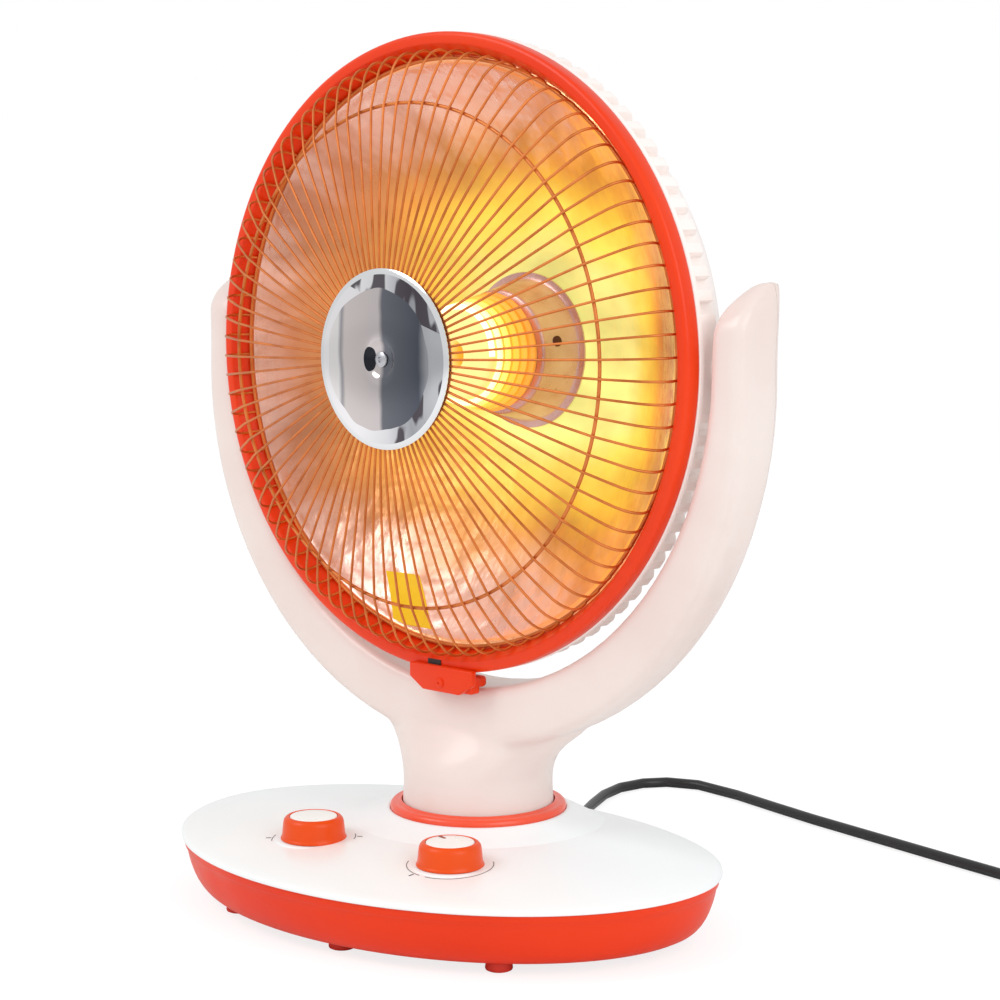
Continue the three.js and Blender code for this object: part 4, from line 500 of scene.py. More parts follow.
def reflector_painted_glow():
    material, tree, shader = bare("reflector_painted_glow", (160, 110, 80), 0.24, metallic=1.0)
    links = tree.links
    across, up, _ = head_spot(tree)
    cloud = maths(tree, "MULTIPLY_ADD", noise(tree, 16, 4), 0.05, -0.025)
    reach = distance(tree, maths(tree, "ADD", across, GLOW_SHIFT), up)
    # The painted gold is pulled further to the right.
    right = maths(tree, "MAXIMUM", across, 0)
    fall = maths(tree, "MULTIPLY", maths(tree, "POWER", right, 5), RIGHT_FALL)
    near = maths(tree, "SUBTRACT", RIGHT_PULL, fall)
    spread = maths(tree, "SUBTRACT", across, maths(tree, "MULTIPLY", right, near))
    lit_reach = distance(tree, maths(tree, "SUBTRACT", spread, GLOW_SHIFT), up)
    share = maths(tree, "MULTIPLY", maths(tree, "ADD", lit_reach, cloud), 1 / DISH_REACH)
    rim = maths(tree, "GREATER_THAN", reach, DISH_EDGE)
    dents = noise(tree, 13, 3, (1, 1, 2.2))
    streaks = noise(tree, 60, 3, (1, 1, 0.35))
    # Painted reflection: the base colour is gold near the coil and pinkish at the rim.
    painted_reflection = ramp(
        tree, share,
        (0.3, (168, 142, 84)), (0.55, (166, 126, 80)), (0.8, (158, 116, 90)),
        (1.0, (156, 118, 100)))
    ray = tree.nodes.new("ShaderNodeCombineXYZ")
    for socket, value in zip(ray.inputs, (across, up)):
        links.new(maths(tree, "DIVIDE", value, reach), socket)
    links.new(maths(tree, "MULTIPLY", reach, 3), ray.inputs[2])
    rays = tree.nodes.new("ShaderNodeTexNoise")
    rays.inputs["Scale"].default_value = RAY_SCALE
    rays.inputs["Detail"].default_value = 4
    links.new(ray.outputs["Vector"], rays.inputs["Vector"])
    sweeps = maths(tree, "MULTIPLY_ADD", noise(tree, 24, 4), 0.4, maths(
        tree, "MULTIPLY", rays.outputs["Fac"], 0.6))
    rise = maths(tree, "MULTIPLY_ADD", maths(tree, "ABSOLUTE", up), 10, -0.6)
    outer = maths(tree, "MAXIMUM", rise, maths(tree, "MULTIPLY_ADD", reach, 6.5, -0.45))
    glint_strength = maths(tree, "MULTIPLY", maths(tree, "MAXIMUM", outer, 0.3), sweeps)
    # Painted glints: silvery rays laid over the base colour.
    glint = ramp(tree, glint_strength, (GLINT_FROM, 0), (GLINT_FULL, 0.85))
    painted_reflection = blend(tree, glint, painted_reflection, (232, 212, 204))
    # Painted highlight on the rolled rim.
    links.new(blend(tree, rim, painted_reflection, (236, 190, 140)), shader.inputs["Base Color"])
    # Painted glow: an emission that is gold near the coil and brown at the rim, patchy with the dents.
    glow = ramp(
        tree, share,
        (0.28, (234, 236, 138)), (0.38, (232, 210, 84)), (0.48, (224, 182, 52)),
        (0.6, (196, 130, 44)), (0.72, (162, 98, 44)), (0.86, (146, 84, 52)),
        (1.0, (130, 78, 56)))
    patchy = maths(tree, "MULTIPLY_ADD", dents, GLOW_SWING, GLOW_LEAST)
    links.new(glow, shader.inputs["Emission Color"])
    links.new(patchy, shader.inputs["Emission Strength"])
    softer = maths(tree, "MULTIPLY_ADD", share, -0.3, 0.36)
    links.new(
        maths(tree, "ADD", maths(tree, "MULTIPLY", streaks, 0.4), maths(tree, "MAXIMUM", softer, 0.04)),
        shader.inputs["Roughness"])
    crumple = maths(tree, "ADD", maths(tree, "MULTIPLY", dents, 3.0), streaks)
    bumpy(tree, shader, crumple, DENT_HEIGHT, 0.7)
    return material


reflector_finish = reflector_painted_glow()
print("dish nodes", len(reflector_finish.node_tree.nodes))

# %% [markdown]
# ### The hot wire and the hot ceramic
# Both glow more towards the front, from deep orange to pale yellow, as the photograph shows
# beside the cap.

# %% Mix the glowing element


def glowing(name, colour, strengths, *stops):
    """A hot surface whose glow rises towards the front; stops are (distance ahead in mm, colour)."""
    material, tree, shader = bare(name, colour, 0.6)
    _, _, ahead = head_spot(tree)
    ahead = maths(tree, "ADD", ahead, maths(tree, "MULTIPLY", noise(tree, 90, 2), 0.003))
    low, high = stops[0][0], stops[-1][0]
    share = maths(tree, "DIVIDE", maths(tree, "SUBTRACT", ahead, low * MM), (high - low) * MM)
    bands = [((at - low) / (high - low), light) for at, light in stops]
    tree.links.new(ramp(tree, share, *bands), shader.inputs["Emission Color"])
    rise = maths(tree, "MULTIPLY_ADD", share, strengths[1] - strengths[0], strengths[0])
    tree.links.new(rise, shader.inputs["Emission Strength"])
    return material


hot_wire = glowing(
    "hot_wire", (230, 150, 80), (0.4, 2.2), (-12, (244, 156, 40)),
    (5, (250, 168, 50)), (10, (255, 206, 100)), (18, (255, 244, 190)))
hot_ceramic = glowing(
    "hot_ceramic", (196, 134, 70), (0.24, 1.0), (-24, (240, 150, 44)),
    (-6, (250, 176, 54)), (8, (250, 180, 56)), (20, (255, 232, 150)))
print("hot finishes", hot_wire.name, hot_ceramic.name)

# %% [markdown]
# ### The cap's chrome
# The cap is a shallow dome of chromed steel. What it mirrors is a dark room with a few bright
# panels, so its colour is a painted reflection: a pale band along the edge, grey on the left half,
# slate on the right, dark flecks near the top, and a dark spot in the dimple.

# %% Mix the chrome
FLECKS_ABOVE = 0.031
FLECKS_BELOW = -0.05
EDGE_BAND = 0.0395
CHROME_RIM = 0.0468
DIMPLE_X = 0.0085
DIMPLE_SIZE = 0.0042


def cap_chrome():
    material, tree, shader = bare("chrome", (210, 214, 218), 0.1, metallic=1.0)
    links = tree.links
    across, up, _ = head_spot(tree)
    wave = maths(tree, "MULTIPLY_ADD", noise(tree, 22, 2), 0.012, -0.006)
    side = maths(tree, "ADD", across, wave)
    place = maths(tree, "MULTIPLY_ADD", side, 1 / 0.1, 0.5)
    inner = ramp(
        tree, place,
        (0.16, (236, 232, 232)), (0.19, (160, 158, 162)), (0.22, (214, 206, 204)),
        (0.49, (204, 196, 196)), (0.52, (112, 114, 122)), (0.8, (84, 88, 98)),
        (0.86, (160, 162, 168)))
    # Painted dark reflections: flecks near the top and at the low right.
    fleck = ramp(tree, noise(tree, 46, 1, (2.2, 1, 0.8)), (0.47, 0), (0.53, 0.9))
    near_top = maths(tree, "GREATER_THAN", maths(tree, "MULTIPLY_ADD", across, 0.35, up), FLECKS_ABOVE)
    low_right = maths(tree, "LESS_THAN", maths(tree, "SUBTRACT", up, across), FLECKS_BELOW)
    patches = maths(tree, "MULTIPLY", fleck, maths(tree, "MAXIMUM", near_top, low_right))
    pale = ramp(
        tree, place, (0.3, (246, 244, 246)), (0.55, (222, 222, 226)),
        (0.72, (160, 162, 168)), (0.9, (190, 192, 196)))
    outer = blend(tree, patches, pale, (66, 58, 66))
    bowed = maths(tree, "MULTIPLY_ADD", across, 0.06, distance(tree, across, up))
    # Painted highlights: a pale band along the edge and a pale rim.
    edge = maths(tree, "GREATER_THAN", maths(tree, "ADD", bowed, wave), EDGE_BAND)
    face = blend(tree, edge, inner, outer)
    rim = maths(tree, "GREATER_THAN", distance(tree, across, up), CHROME_RIM)
    face = blend(tree, rim, face, (236, 238, 240))
    # Painted dark reflection in the dimple.
    spot = distance(tree, maths(tree, "ADD", across, DIMPLE_X), maths(tree, "MULTIPLY", up, 0.62))
    dimple_reflection = maths(tree, "LESS_THAN", spot, DIMPLE_SIZE)
    links.new(blend(tree, dimple_reflection, face, (46, 48, 54)), shader.inputs["Base Color"])
    gloss = ramp(tree, noise(tree, 30), (0.3, 0.07), (0.7, 0.14))
    links.new(gloss, shader.inputs["Roughness"])
    return material


chrome = cap_chrome()
print("finishes", len(bpy.data.materials))

# %% [markdown]
# ## The base
# The base is an orange tub under a white plate that overhangs it a little. Both follow one oval
# whose front half is deeper than its back half. The tub's side is convex and draws in to a flat
# underside. The plate is slightly domed, so the light slides over it.

# %% Shape the tub
BASE_HALF_LENGTH = 172
BASE_FRONT = 128
BASE_BACK = 107.7
OVAL_STEPS = 128
TUB_BOTTOM = 6
TUB_HEIGHT = 30.3
TUB_RIM_INSET = 1.5
TUB_FOOT_INSET = 18
LIP_DEPTH = 0.9
PLATE_LOW = TUB_BOTTOM + TUB_HEIGHT + 0.3
PLATE_EDGE = PLATE_LOW + 3
PLATE_DOME = 8


def oval(inset, height, share=1.0):
    """A ring of points on the base's oval, drawn in by inset or shrunk to a share."""
    ring = []
    for i in range(OVAL_STEPS):
        angle = math.tau * i / OVAL_STEPS
        depth = BASE_BACK if math.sin(angle) > 0 else BASE_FRONT
        x = (BASE_HALF_LENGTH - inset) * math.cos(angle) * share
        y = (depth - inset) * math.sin(angle) * share
        ring.append((x, y, height(x, y) if callable(height) else height))
    return ring


def tub_inset(share):
    inset = TUB_RIM_INSET + (TUB_FOOT_INSET - TUB_RIM_INSET) * (1 - math.sqrt(share)) ** 1.4
    return inset + LIP_DEPTH * (1 - ease(share, 0.83, 0.87))


tub_rings = [oval(TUB_FOOT_INSET + LIP_DEPTH, TUB_BOTTOM, s) for s in (0.02, 0.5, 0.97)]
tub_rings += [oval(tub_inset(s), TUB_BOTTOM + TUB_HEIGHT * s)
              for s in (0.004, 0.02, 0.05, 0.1, 0.18, 0.28, 0.4, 0.55, 0.7, 0.82, 0.85, 0.88, 0.97, 1)]
tub_rings += [oval(TUB_RIM_INSET + 3, TUB_BOTTOM + TUB_HEIGHT, s) for s in (1, 0.5, 0.02)]
tub = swept("base_tub", tub_rings)
finish_piece(tub, "base", tub_orange, "orange_plastic", "base_shell", smooth=40)

# %% [markdown]
# ### The top plate
# The plate is swept on the same oval. Its height falls with the fourth power of the distance from
# the middle, so it is nearly flat under the knobs and rolls over at the edge.

# %% Shape the top plate


def plate_height(x, y):
    depth = BASE_BACK if y > 0 else BASE_FRONT
    return PLATE_EDGE + PLATE_DOME * (1 - min(1, math.hypot(x / BASE_HALF_LENGTH, y / depth)) ** 4)


plate_rings = [oval(4, PLATE_LOW, s) for s in (0.02, 0.6, 1)]
plate_rings += [oval(0.9, PLATE_LOW), oval(0.2, PLATE_LOW + 0.4), oval(0, PLATE_LOW + 1.1)]
plate_rings += [oval(0, PLATE_EDGE - 1.2), oval(0.3, PLATE_EDGE - 0.5), oval(1.2, PLATE_EDGE)]
plate_rings += [oval(1.2, plate_height, s)
                for s in (0.985, 0.95, 0.9, 0.84, 0.78, 0.72, 0.66, 0.6, 0.54, 0.48, 0.42, 0.36, 0.3,
                          0.24, 0.18, 0.1, 0.02)]
plate = swept("base_plate", plate_rings)
finish_piece(plate, "base", plate_white, "white_plastic", "top_plate", smooth=40)
print("plate middle at", round(plate_height(0, 0), 1), "mm")

# %% [markdown]
# ## Feet, collar and gland
# Small turned pieces: the rubber feet, the orange collar round the column's foot with its
# rounded bead, a white seat that rises from the plate to the collar, and the rubber gland that
# keeps the cord from kinking. One foot is turned and copied to the five places.

# %% Turn the small base pieces
FOOT_PLACES = [(-92, -78), (0, -97), (92, -78), (84, 66), (-84, 66)]
foot = turned("foot", [(0, 0), (6.4, 0), (7.2, 0.4), (7.5, 1.2), (7.2, 3.2), (6.8, 5.7), (3, 5.7),
                       (3, 9), (0, 9)], 40)
for number, (x, y) in enumerate(FOOT_PLACES):
    piece = copy_of(foot, Matrix.Translation((x * MM, y * MM, 0)))
    piece.name = f"rubber_foot_{number + 1}"
    finish_piece(piece, "base", foot_red, "foot_rubber", f"foot_pad_{number + 1}")
bpy.data.objects.remove(foot)

SEAT_Z = 47.9
collar = turned("collar", [
    (45.1, SEAT_Z + 0.3), (49.5, SEAT_Z + 0.3), (50.6, 50), (51.5, 52.2), (51.7, 54.2), (51.3, 55.8),
    (50.4, 56.8), (49.2, 57.2), (48, 57.1), (47, 57.3), (46, 58), (45.1, 58.2)], 128)
finish_piece(collar, "base", collar_orange, "orange_plastic", "collar_ring", place=ON_COLUMN, smooth=50)

seat = turned("collar_seat", [(51.9, 46), (51.9, 53.4), (52.7, 53.7), (54.4, 53.2), (58, 51.4), (64, 49),
                              (70, 46.9), (75, 45.2), (75, 44)], 160)
for vert in seat.data.vertices:
    x, y = vert.co.x / MM, vert.co.y / MM
    reach = ease(math.hypot(x, y), 54, 75)
    lower = plate_height(x, y + COLUMN_Y) - 0.25 - 45.2
    vert.co.z += reach * lower * MM
finish_piece(seat, "base", plate_white, "white_plastic", place=ON_COLUMN, smooth=50)

gland_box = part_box("cord_gland")
gland_length = (gland_box[1][1] - gland_box[0][1]) / MM
gland_profile = [(0, 0), (9, 0), (9, 2), (6.4, 2), (6.4, 9)]
for rib in range(6):
    base_at = 9.5 + rib * 3.4
    radius = 6.2 - 0.22 * rib
    gland_profile += [(radius, base_at), (radius, base_at + 1.7), (radius - 0.9, base_at + 2.1),
                      (radius - 0.9, base_at + 3)]
gland_profile += [(4.8, gland_length - 0.6), (4.4, gland_length), (0, gland_length)]
gland = turned("cord_relief", gland_profile, 40)
GLAND_PLACE = Matrix.Translation((GLAND_X * MM, gland_box[0][1], GLAND_Z * MM)) @ Matrix.Rotation(
    -math.pi / 2, 4, "X")
finish_piece(gland, "base", plug_black, "black_rubber", "cord_gland", place=GLAND_PLACE)
print("gland", round(gland_length, 1), "mm long")

# %% [markdown]
# ## Knobs
# Each knob is an orange cup with a flared skirt and a white disc set into its top. The right
# one carries a small pointer. A low round pad makes a level seat for each knob on the domed
# plate.

# %% Turn the knobs, their caps and pads
KNOB_X = 48.4
KNOB_Y = -62.8
PAD_Z = 46.2
KNOB_Z = PAD_Z + 0.3
knob_profile = [
    (3.3, 0), (18.6, 0), (18.8, 0.3), (18.7, 0.9), (18.3, 1.4), (18, 2.1), (17.8, 3.4), (17.6, 6),
    (17.2, 9.6), (16.8, 11.2), (15.9, 12.3), (15, 12.85), (14.2, 13), (13.9, 12.9), (13.7, 12.4),
    (13.7, 11.6), (3.3, 11.6)]
cap_profile = [(0, 11.9), (13.3, 11.9), (13.4, 12.2), (13.4, 12.6), (13.1, 12.9), (12.4, 13.05),
               (6, 13.35), (0, 13.4)]
for name, side in (("timer", -1), ("mode", 1)):
    at = Matrix.Translation((side * KNOB_X * MM, KNOB_Y * MM, KNOB_Z * MM))
    knob = turned(f"{name}_grip", knob_profile, 96)
    finish_piece(knob, name, knob_orange, "orange_plastic", f"{name}_knob", place=at, smooth=50)
    cap = turned(f"{name}_disc", cap_profile, 96)
    finish_piece(cap, name, cap_white, "white_plastic", f"{name}_knob_cap", place=at, smooth=50)
    pad = turned(f"{name}_pad", [(0, -4), (21.4, -4), (21.3, -0.5), (20.8, -0.3), (0, -0.3)], 96)
    finish_piece(pad, "base", plate_white, "white_plastic", place=at)

pointer = block("mode_pointer", (-12.2, -0.9, 13.0), (-5.6, 0.9, 13.45))
round_edges(pointer, 0.15, 2)
finish_piece(pointer, "mode", pointer_red, "white_plastic",
             place=Matrix.Translation((KNOB_X * MM, KNOB_Y * MM, KNOB_Z * MM)) @ Matrix.Rotation(
                 math.radians(-25), 4, "Z"))
print("knobs", round(2 * knob_profile[2][0], 1), "mm across")

# %% [markdown]
# ### Dial lines
# Thin grey arcs with a tick or two lie on the plate round the knobs. Each is a flat strip swept
# along the plate's dome.

# %% Lay the dial lines round the knobs
DIAL_RADIUS = 23.6
LINE_WIDTH = 0.45
DIAL_ARCS = {"timer": [(196, 222), (22, 48)], "mode": [(200, 262), (272, 405)]}
DIAL_TICKS = {"timer": [208, 34], "mode": [254]}


def on_plate(x, y, lift):
    return (x, y, plate_height(x, y) + lift)


def dial_line(centre_x, from_deg, to_deg, radius, width):
    """A thin raised arc that follows the plate."""
    rings = []
    steps = max(2, round((to_deg - from_deg) / 4))
    for i in range(steps + 1):
        angle = math.radians(from_deg + (to_deg - from_deg) * i / steps)
        ends = [(centre_x + r * math.cos(angle), KNOB_Y + r * math.sin(angle))
                for r in (radius, radius + width)]
        (x0, y0), (x1, y1) = ends
        rings.append([on_plate(x0, y0, -0.3), on_plate(x1, y1, -0.3),
                      on_plate(x1, y1, 0.12), on_plate(x0, y0, 0.12)])
    return swept("dial_line", rings)


for name, side in (("timer", -1), ("mode", 1)):
    lines = [dial_line(side * KNOB_X, a, b, DIAL_RADIUS, LINE_WIDTH) for a, b in DIAL_ARCS[name]]
    lines += [dial_line(side * KNOB_X, a - 1, a + 1, DIAL_RADIUS + 1.2, 3) for a in DIAL_TICKS[name]]
    marks = join(*lines)
    marks.name = f"{name}_dial"
    finish_piece(marks, "base", dial_grey, "dark_plastic")
print("dial lines", sum(len(v) for v in DIAL_ARCS.values()))

# %% [markdown]
# ## The yoke
# The yoke is one white moulding: two arms on a circle about the tilt pivot, thick at the bottom
# and thin at the pivots, with leaf-shaped tips that lean outwards, and a round neck that flares
# into them. The arms and the neck are swept apart first.

# %% Sweep the arms and the neck
YOKE_INNER = 186
YOKE_OUTER = 207
TIP_DEG = 12.7
TIP_START_DEG = 5.4
TIP_BACK = 2
TIP_FLARE = 6.8
ARM_FRONT = -26
ARM_BACK = 17
CORNER_POINTS = 7


def corner(cx, cy, radius_x, radius_y, start):
    """A quarter of an ellipse about a corner's centre."""
    turns = [start + math.pi / 2 * k / (CORNER_POINTS - 1) for k in range(CORNER_POINTS)]
    return [(cx + radius_x * math.cos(t), cy + radius_y * math.sin(t)) for t in turns]


def arm_ring(angle):
    """One section across an arm. Angles run from the left pivot down and up to the right one."""
    down = math.pi - angle if angle > math.pi / 2 else angle
    low = max(0, math.sin(down))
    tip = min(1, max(0, (-math.degrees(down) - TIP_START_DEG) / (TIP_DEG - TIP_START_DEG)))
    lean = TIP_FLARE * max(0, -math.degrees(down) / TIP_DEG) ** 1.8
    inner = YOKE_INNER + 4 * low * low + lean
    thick = YOKE_OUTER + 18 * low + lean - inner
    front = ARM_FRONT + (TIP_BACK - ARM_FRONT) * tip ** 2
    back = ARM_BACK - 2 * tip ** 6
    squeeze = 1 - 0.45 * tip ** 3
    r0 = inner + thick * (0.5 - 0.5 * squeeze)
    r1 = inner + thick * (0.5 + 0.5 * squeeze)
    room = min(r1 - r0, back - front)
    f_out = min(6, room * 0.45)
    f_in = min(4, room * 0.4)
    b_out = min((r1 - r0) * 0.8, (back - front) * 0.5)
    b_in = min(3, room * 0.2)
    ring = corner(r1 - b_out, back - b_out, b_out, b_out, 0)
    ring += corner(r0 + b_in, back - b_in, b_in, b_in, math.pi / 2)
    ring += corner(r0 + f_in, front + f_in, f_in, f_in, math.pi)
    ring += corner(r1 - f_out, front + f_out, f_out, f_out, 1.5 * math.pi)
    return [(r * math.cos(angle), y, PIVOT_HEIGHT - r * math.sin(angle)) for r, y in ring]


tip_steps = [TIP_DEG - 0.1, TIP_DEG - 0.4, TIP_DEG - 0.9, TIP_DEG - 1.6, TIP_DEG - 2.5, TIP_DEG - 3.5,
             TIP_DEG - 4.6, TIP_DEG - 5.8, TIP_START_DEG + 0.4, TIP_START_DEG - 1, 2]
arc = [-t for t in tip_steps] + list(range(1, 90, 4))
arc += [90] + [180 - a for a in reversed(arc)]
arms = swept("yoke_arms", [arm_ring(math.radians(a)) for a in arc])
neck_rows = [(0, 44.5, 44.5), (6.5, 44.5, 44.5), (14, 43.9, 43.9), (21.5, 43.8, 43.4),
             (28.5, 45.6, 42.2), (34, 49.2, 40), (38.5, 52.8, 37.6), (43, 57.2, 34.5),
             (47, 62, 31), (51.5, 68, 28), (55.5, 74, 25), (59.5, 80, 22), (64, 85, 19)]
COLUMN_FOOT = SEAT_Z + 0.6


def neck_ring(height, half_x, half_y):
    shift = (ARM_FRONT + ARM_BACK) / 2 * (1 - half_y / 44.5)
    return [(half_x * math.cos(math.tau * i / 64), half_y * math.sin(math.tau * i / 64) + shift,
             COLUMN_FOOT + height) for i in range(64)]


neck = swept("yoke_neck", [neck_ring(*row) for row in neck_rows])
print("arms", len(arms.data.polygons), "neck", len(neck.data.polygons))

# %% [markdown]
# ### One moulding from two sweeps
# A voxel remesh fuses arms and neck, and smoothing makes the fillet between them, which no bevel
# could follow. A boolean splits off the back cover with a fine seam.

# %% Fuse and smooth the yoke, and split off its back cover
YOKE_VOXEL = 2.2
yoke = join(arms, neck)
yoke.name = "yoke_front"
modify(yoke, "REMESH", mode="VOXEL", voxel_size=YOKE_VOXEL * MM, use_smooth_shade=True)
modify(yoke, "SMOOTH", factor=0.5, iterations=8)
SEAM_Y = 5
SEAM_GAP = 0.25
SEAM_Z = COLUMN_FOOT + 40


def cut_with(piece, tool, how):
    modify(piece, "BOOLEAN", operation=how, object=tool, solver="EXACT")


cover = copy_of(yoke, Matrix())
cover.name = "yoke_cover"
back_room = block("back_room", (-300, SEAM_Y, SEAM_Z), (300, 200, 500))
cut_with(yoke, back_room, "DIFFERENCE")
back_room.data.transform(Matrix.Translation((0, SEAM_GAP * MM, SEAM_GAP * MM)))
cut_with(cover, back_room, "INTERSECT")
bpy.data.objects.remove(back_room)
finish_piece(yoke, "yoke", yoke_white, "white_plastic", "yoke_shell", smooth=40)
finish_piece(cover, "yoke", yoke_white, "white_plastic", "yoke_back_cover", smooth=40)

# %% [markdown]
# ## Friction washers at the pivots
# A brown fibre washer sits between each arm and the head's boss, and holds the tilt.

# %% Turn the friction washers
WASHER_IN = 181.3
WASHER_OUT = 185.7
for name, side in (("left", -1), ("right", 1)):
    washer = turned(f"pivot_washer_{name}", [(3.3, WASHER_IN), (12.4, WASHER_IN), (13, WASHER_IN + 0.6),
                    (13, WASHER_OUT - 0.6), (12.4, WASHER_OUT), (3.3, WASHER_OUT)], 64)
    lie = ON_YOKE @ Matrix.Translation((0, 0, PIVOT_HEIGHT * MM)) @ Matrix.Rotation(
        side * math.pi / 2, 4, "Y")
    finish_piece(washer, "yoke", fibre_brown, "brown_fibre", f"friction_bush_{name}", place=lie)
print("washers", WASHER_OUT - WASHER_IN, "mm thick")

# %% [markdown]
# ## The head's casing
# The white casing is a turned shell. Behind the ring runs a band of fins: one bar, swept from its
# side outline, copied round the rim and left out at the pivots. Plain blocks and a round boss
# take their place there.

# %% Turn the casing and add its fins
FIN_COUNT = 88
FIN_WALL = 171
FIN_OUTER = 178.9
FIN_WIDTH = 5.8
FIN_FREE = math.radians(8)
QUIET_HALF = 25
FIN_SIDE = [(FIN_WALL - 0.5, 0), (174.5, 3.2), (177.8, 6.6), (FIN_OUTER, 8.6), (FIN_OUTER, 21.8),
            (FIN_WALL - 0.5, 21.8)]
casing_profile = [
    (0, -88), (64, -88), (68.5, -87.6), (71.5, -86), (76, -83.6), (95, -75), (113, -63), (130, -50),
    (146, -34.5), (160, -20), (167, -8), (170, -2), (FIN_WALL, 1.4), (FIN_WALL, 21.2),
    (179.6, 21.4), (180.3, 22), (180.3, 24.4), (179.8, 24.9),
    (174.8, 24.9), (174.8, 22.4), (170.8, 22.4), (168, 18), (168, 6), (157.5, -18), (128, -47.4),
    (93.6, -72.4), (69, -85.6), (0, -85.6)]
casing = turned("head_casing", casing_profile, 176)
fin = swept("fin", [[(r, y, s) for r, s in FIN_SIDE] for y in (-FIN_WIDTH / 2, FIN_WIDTH / 2)])
round_edges(fin, 0.4, 2)
fins = []
for number in range(FIN_COUNT):
    angle = math.tau * number / FIN_COUNT
    if abs(math.asin(math.sin(angle))) > FIN_FREE:
        fins.append(copy_of(fin, Matrix.Rotation(angle, 4, "Z")))
bpy.data.objects.remove(fin)
for side in (0, math.pi):
    quiet = turned("fin_block", FIN_SIDE, 176)
    keep = block("keep", (100, -QUIET_HALF, -2), (200, QUIET_HALF, 30))
    quiet.data.transform(Matrix.Rotation(side, 4, "Z"))
    keep.data.transform(Matrix.Rotation(side, 4, "Z"))
    cut_with(quiet, keep, "INTERSECT")
    bpy.data.objects.remove(keep)
    fins.append(quiet)
    boss = turned("boss", [(0, 166), (14, 166), (14, 180.3), (13.4, 181), (0, 181)], 48)
    boss.data.transform(Matrix.Rotation(math.pi / 2 if side == 0 else -math.pi / 2, 4, "Y"))
    fins.append(boss)
print("fins", len(fins) - 4)

# %% [markdown]
# ### Slots in the back
# Upright slots let air through the middle of the back. They are rounded blocks, joined and cut
# out by one boolean.

# %% Cut the slots in the casing's back
SLOT_COUNT = 12
SLOT_WIDTH = 4
slots = []
for number in range(SLOT_COUNT):
    x = (number - (SLOT_COUNT - 1) / 2) * SLOT_WIDTH * 2
    half = math.sqrt(56 ** 2 - x ** 2)
    slot = block("slot", (x - SLOT_WIDTH / 2, -half, -90), (x + SLOT_WIDTH / 2, half, -84))
    slots.append(round_edges(slot, 1.6, 4))
slots = join(*slots)
cut_with(casing, slots, "DIFFERENCE")
bpy.data.objects.remove(slots)
casing = join(casing, *fins)
finish_piece(casing, "head", casing_white, "white_plastic", "rear_casing", smooth=35)

# %% [markdown]
# ## The reflector
# The dish is a parabola of thin sheet with a rolled rim, turned from one outline. It is open in
# the middle, where the cup stands.

# %% Turn the reflector
DISH_RADIUS = 165
DISH_RIM = 24.2
DISH_FOCAL = 93
SHEET = 0.8


def dish(radius):
    return DISH_RIM - (DISH_RADIUS ** 2 - radius ** 2) / (4 * DISH_FOCAL)


dish_radii = [40 + (163 - 40) * k / 30 for k in range(31)]
dish_profile = [(r, dish(r)) for r in dish_radii]
dish_profile += [(164, 24.3), (165.2, 24.7), (166.4, 24.3), (166.9, 23.8), (173.4, 23.8), (173.4, 23)]
dish_profile += [(166, 23), (164.6, 23)]
dish_profile += [(r + 0.2, dish(r) - SHEET) for r in reversed(dish_radii)]
dish_piece = turned("dish", dish_profile, 144)
finish_piece(dish_piece, "head", reflector_finish, "reflector_aluminium", "reflector",
             smooth=60)
print("dish", round(DISH_RIM - dish(0), 1), "mm deep")

# %% [markdown]
# ## The front ring
# The ring is orange plastic with a narrow flat face and a deep sloping inside, where the wires
# end.

# %% Turn the front ring
ring_profile = [
    (179.2, 25.2), (179.8, 25.4), (180, 26), (180, 33), (179.6, 34.2), (178.6, 35), (177.4, 35.2),
    (174.2, 35.2), (173.4, 35.1), (172.9, 34.6), (171.6, 32.2), (169.6, 28.4), (167.4, 24.2),
    (169, 24.2), (172.4, 30.6), (174, 33.4), (177.6, 33.4), (177.6, 25.2)]
ring = turned("ring", ring_profile, 176)
finish_piece(ring, "head", ring_orange, "orange_plastic", "front_ring", smooth=40)

# %% [markdown]
# ## The wire guard
# Eighty-eight wires run from a rim hoop, out past the ring, over the front and in to the cap.
# One wire is swept with a six-sided section along rounded points and copied round the axis.

# %% Sweep one wire and copy it round
WIRE_RADIUS = 0.75
WIRE_COUNT = 88
WIRE_PATH = [(167.2, 26.6), (168.6, 30), (169.6, 33.2), (169.9, 35.6), (169.7, 38), (168.9, 41),
             (167.4, 44), (165, 47), (161.4, 50), (154.4, 53.6), (140.3, 60), (118, 64.4),
             (92, 68.8), (67.3, 72), (54, 73.4), (44.2, 73.9)]


def along(path, radius, sides):
    """Rings square to a path that lies in the plane through the axis."""
    rings = []
    for i, (r, s) in enumerate(path):
        r0, s0 = path[max(i - 1, 0)]
        r1, s1 = path[min(i + 1, len(path) - 1)]
        run = math.hypot(r1 - r0, s1 - s0)
        across = (-(s1 - s0) / run, (r1 - r0) / run)
        ring_points = []
        for k in range(sides):
            t = math.tau * k / sides
            ring_points.append((r + across[0] * radius * math.cos(t), radius * math.sin(t),
                                s + across[1] * radius * math.cos(t)))
        rings.append(ring_points)
    return rings


wire = swept("wire", along(WIRE_PATH, WIRE_RADIUS, 6))
wires = [copy_of(wire, Matrix.Rotation(math.tau * (i + 0.5) / WIRE_COUNT, 4, "Z"))
         for i in range(WIRE_COUNT)]
bpy.data.objects.remove(wire)


def hoop(name, radius, height, thickness):
    """A round wire bent to a hoop about the head's axis."""
    start_clean()
    bpy.ops.mesh.primitive_torus_add(major_radius=radius * MM, minor_radius=thickness * MM,
                                     major_segments=176, minor_segments=10)
    piece = bpy.context.object
    piece.name = name
    piece.data.transform(Matrix.Translation((0, 0, height * MM)))
    piece.matrix_world = Matrix()
    return piece


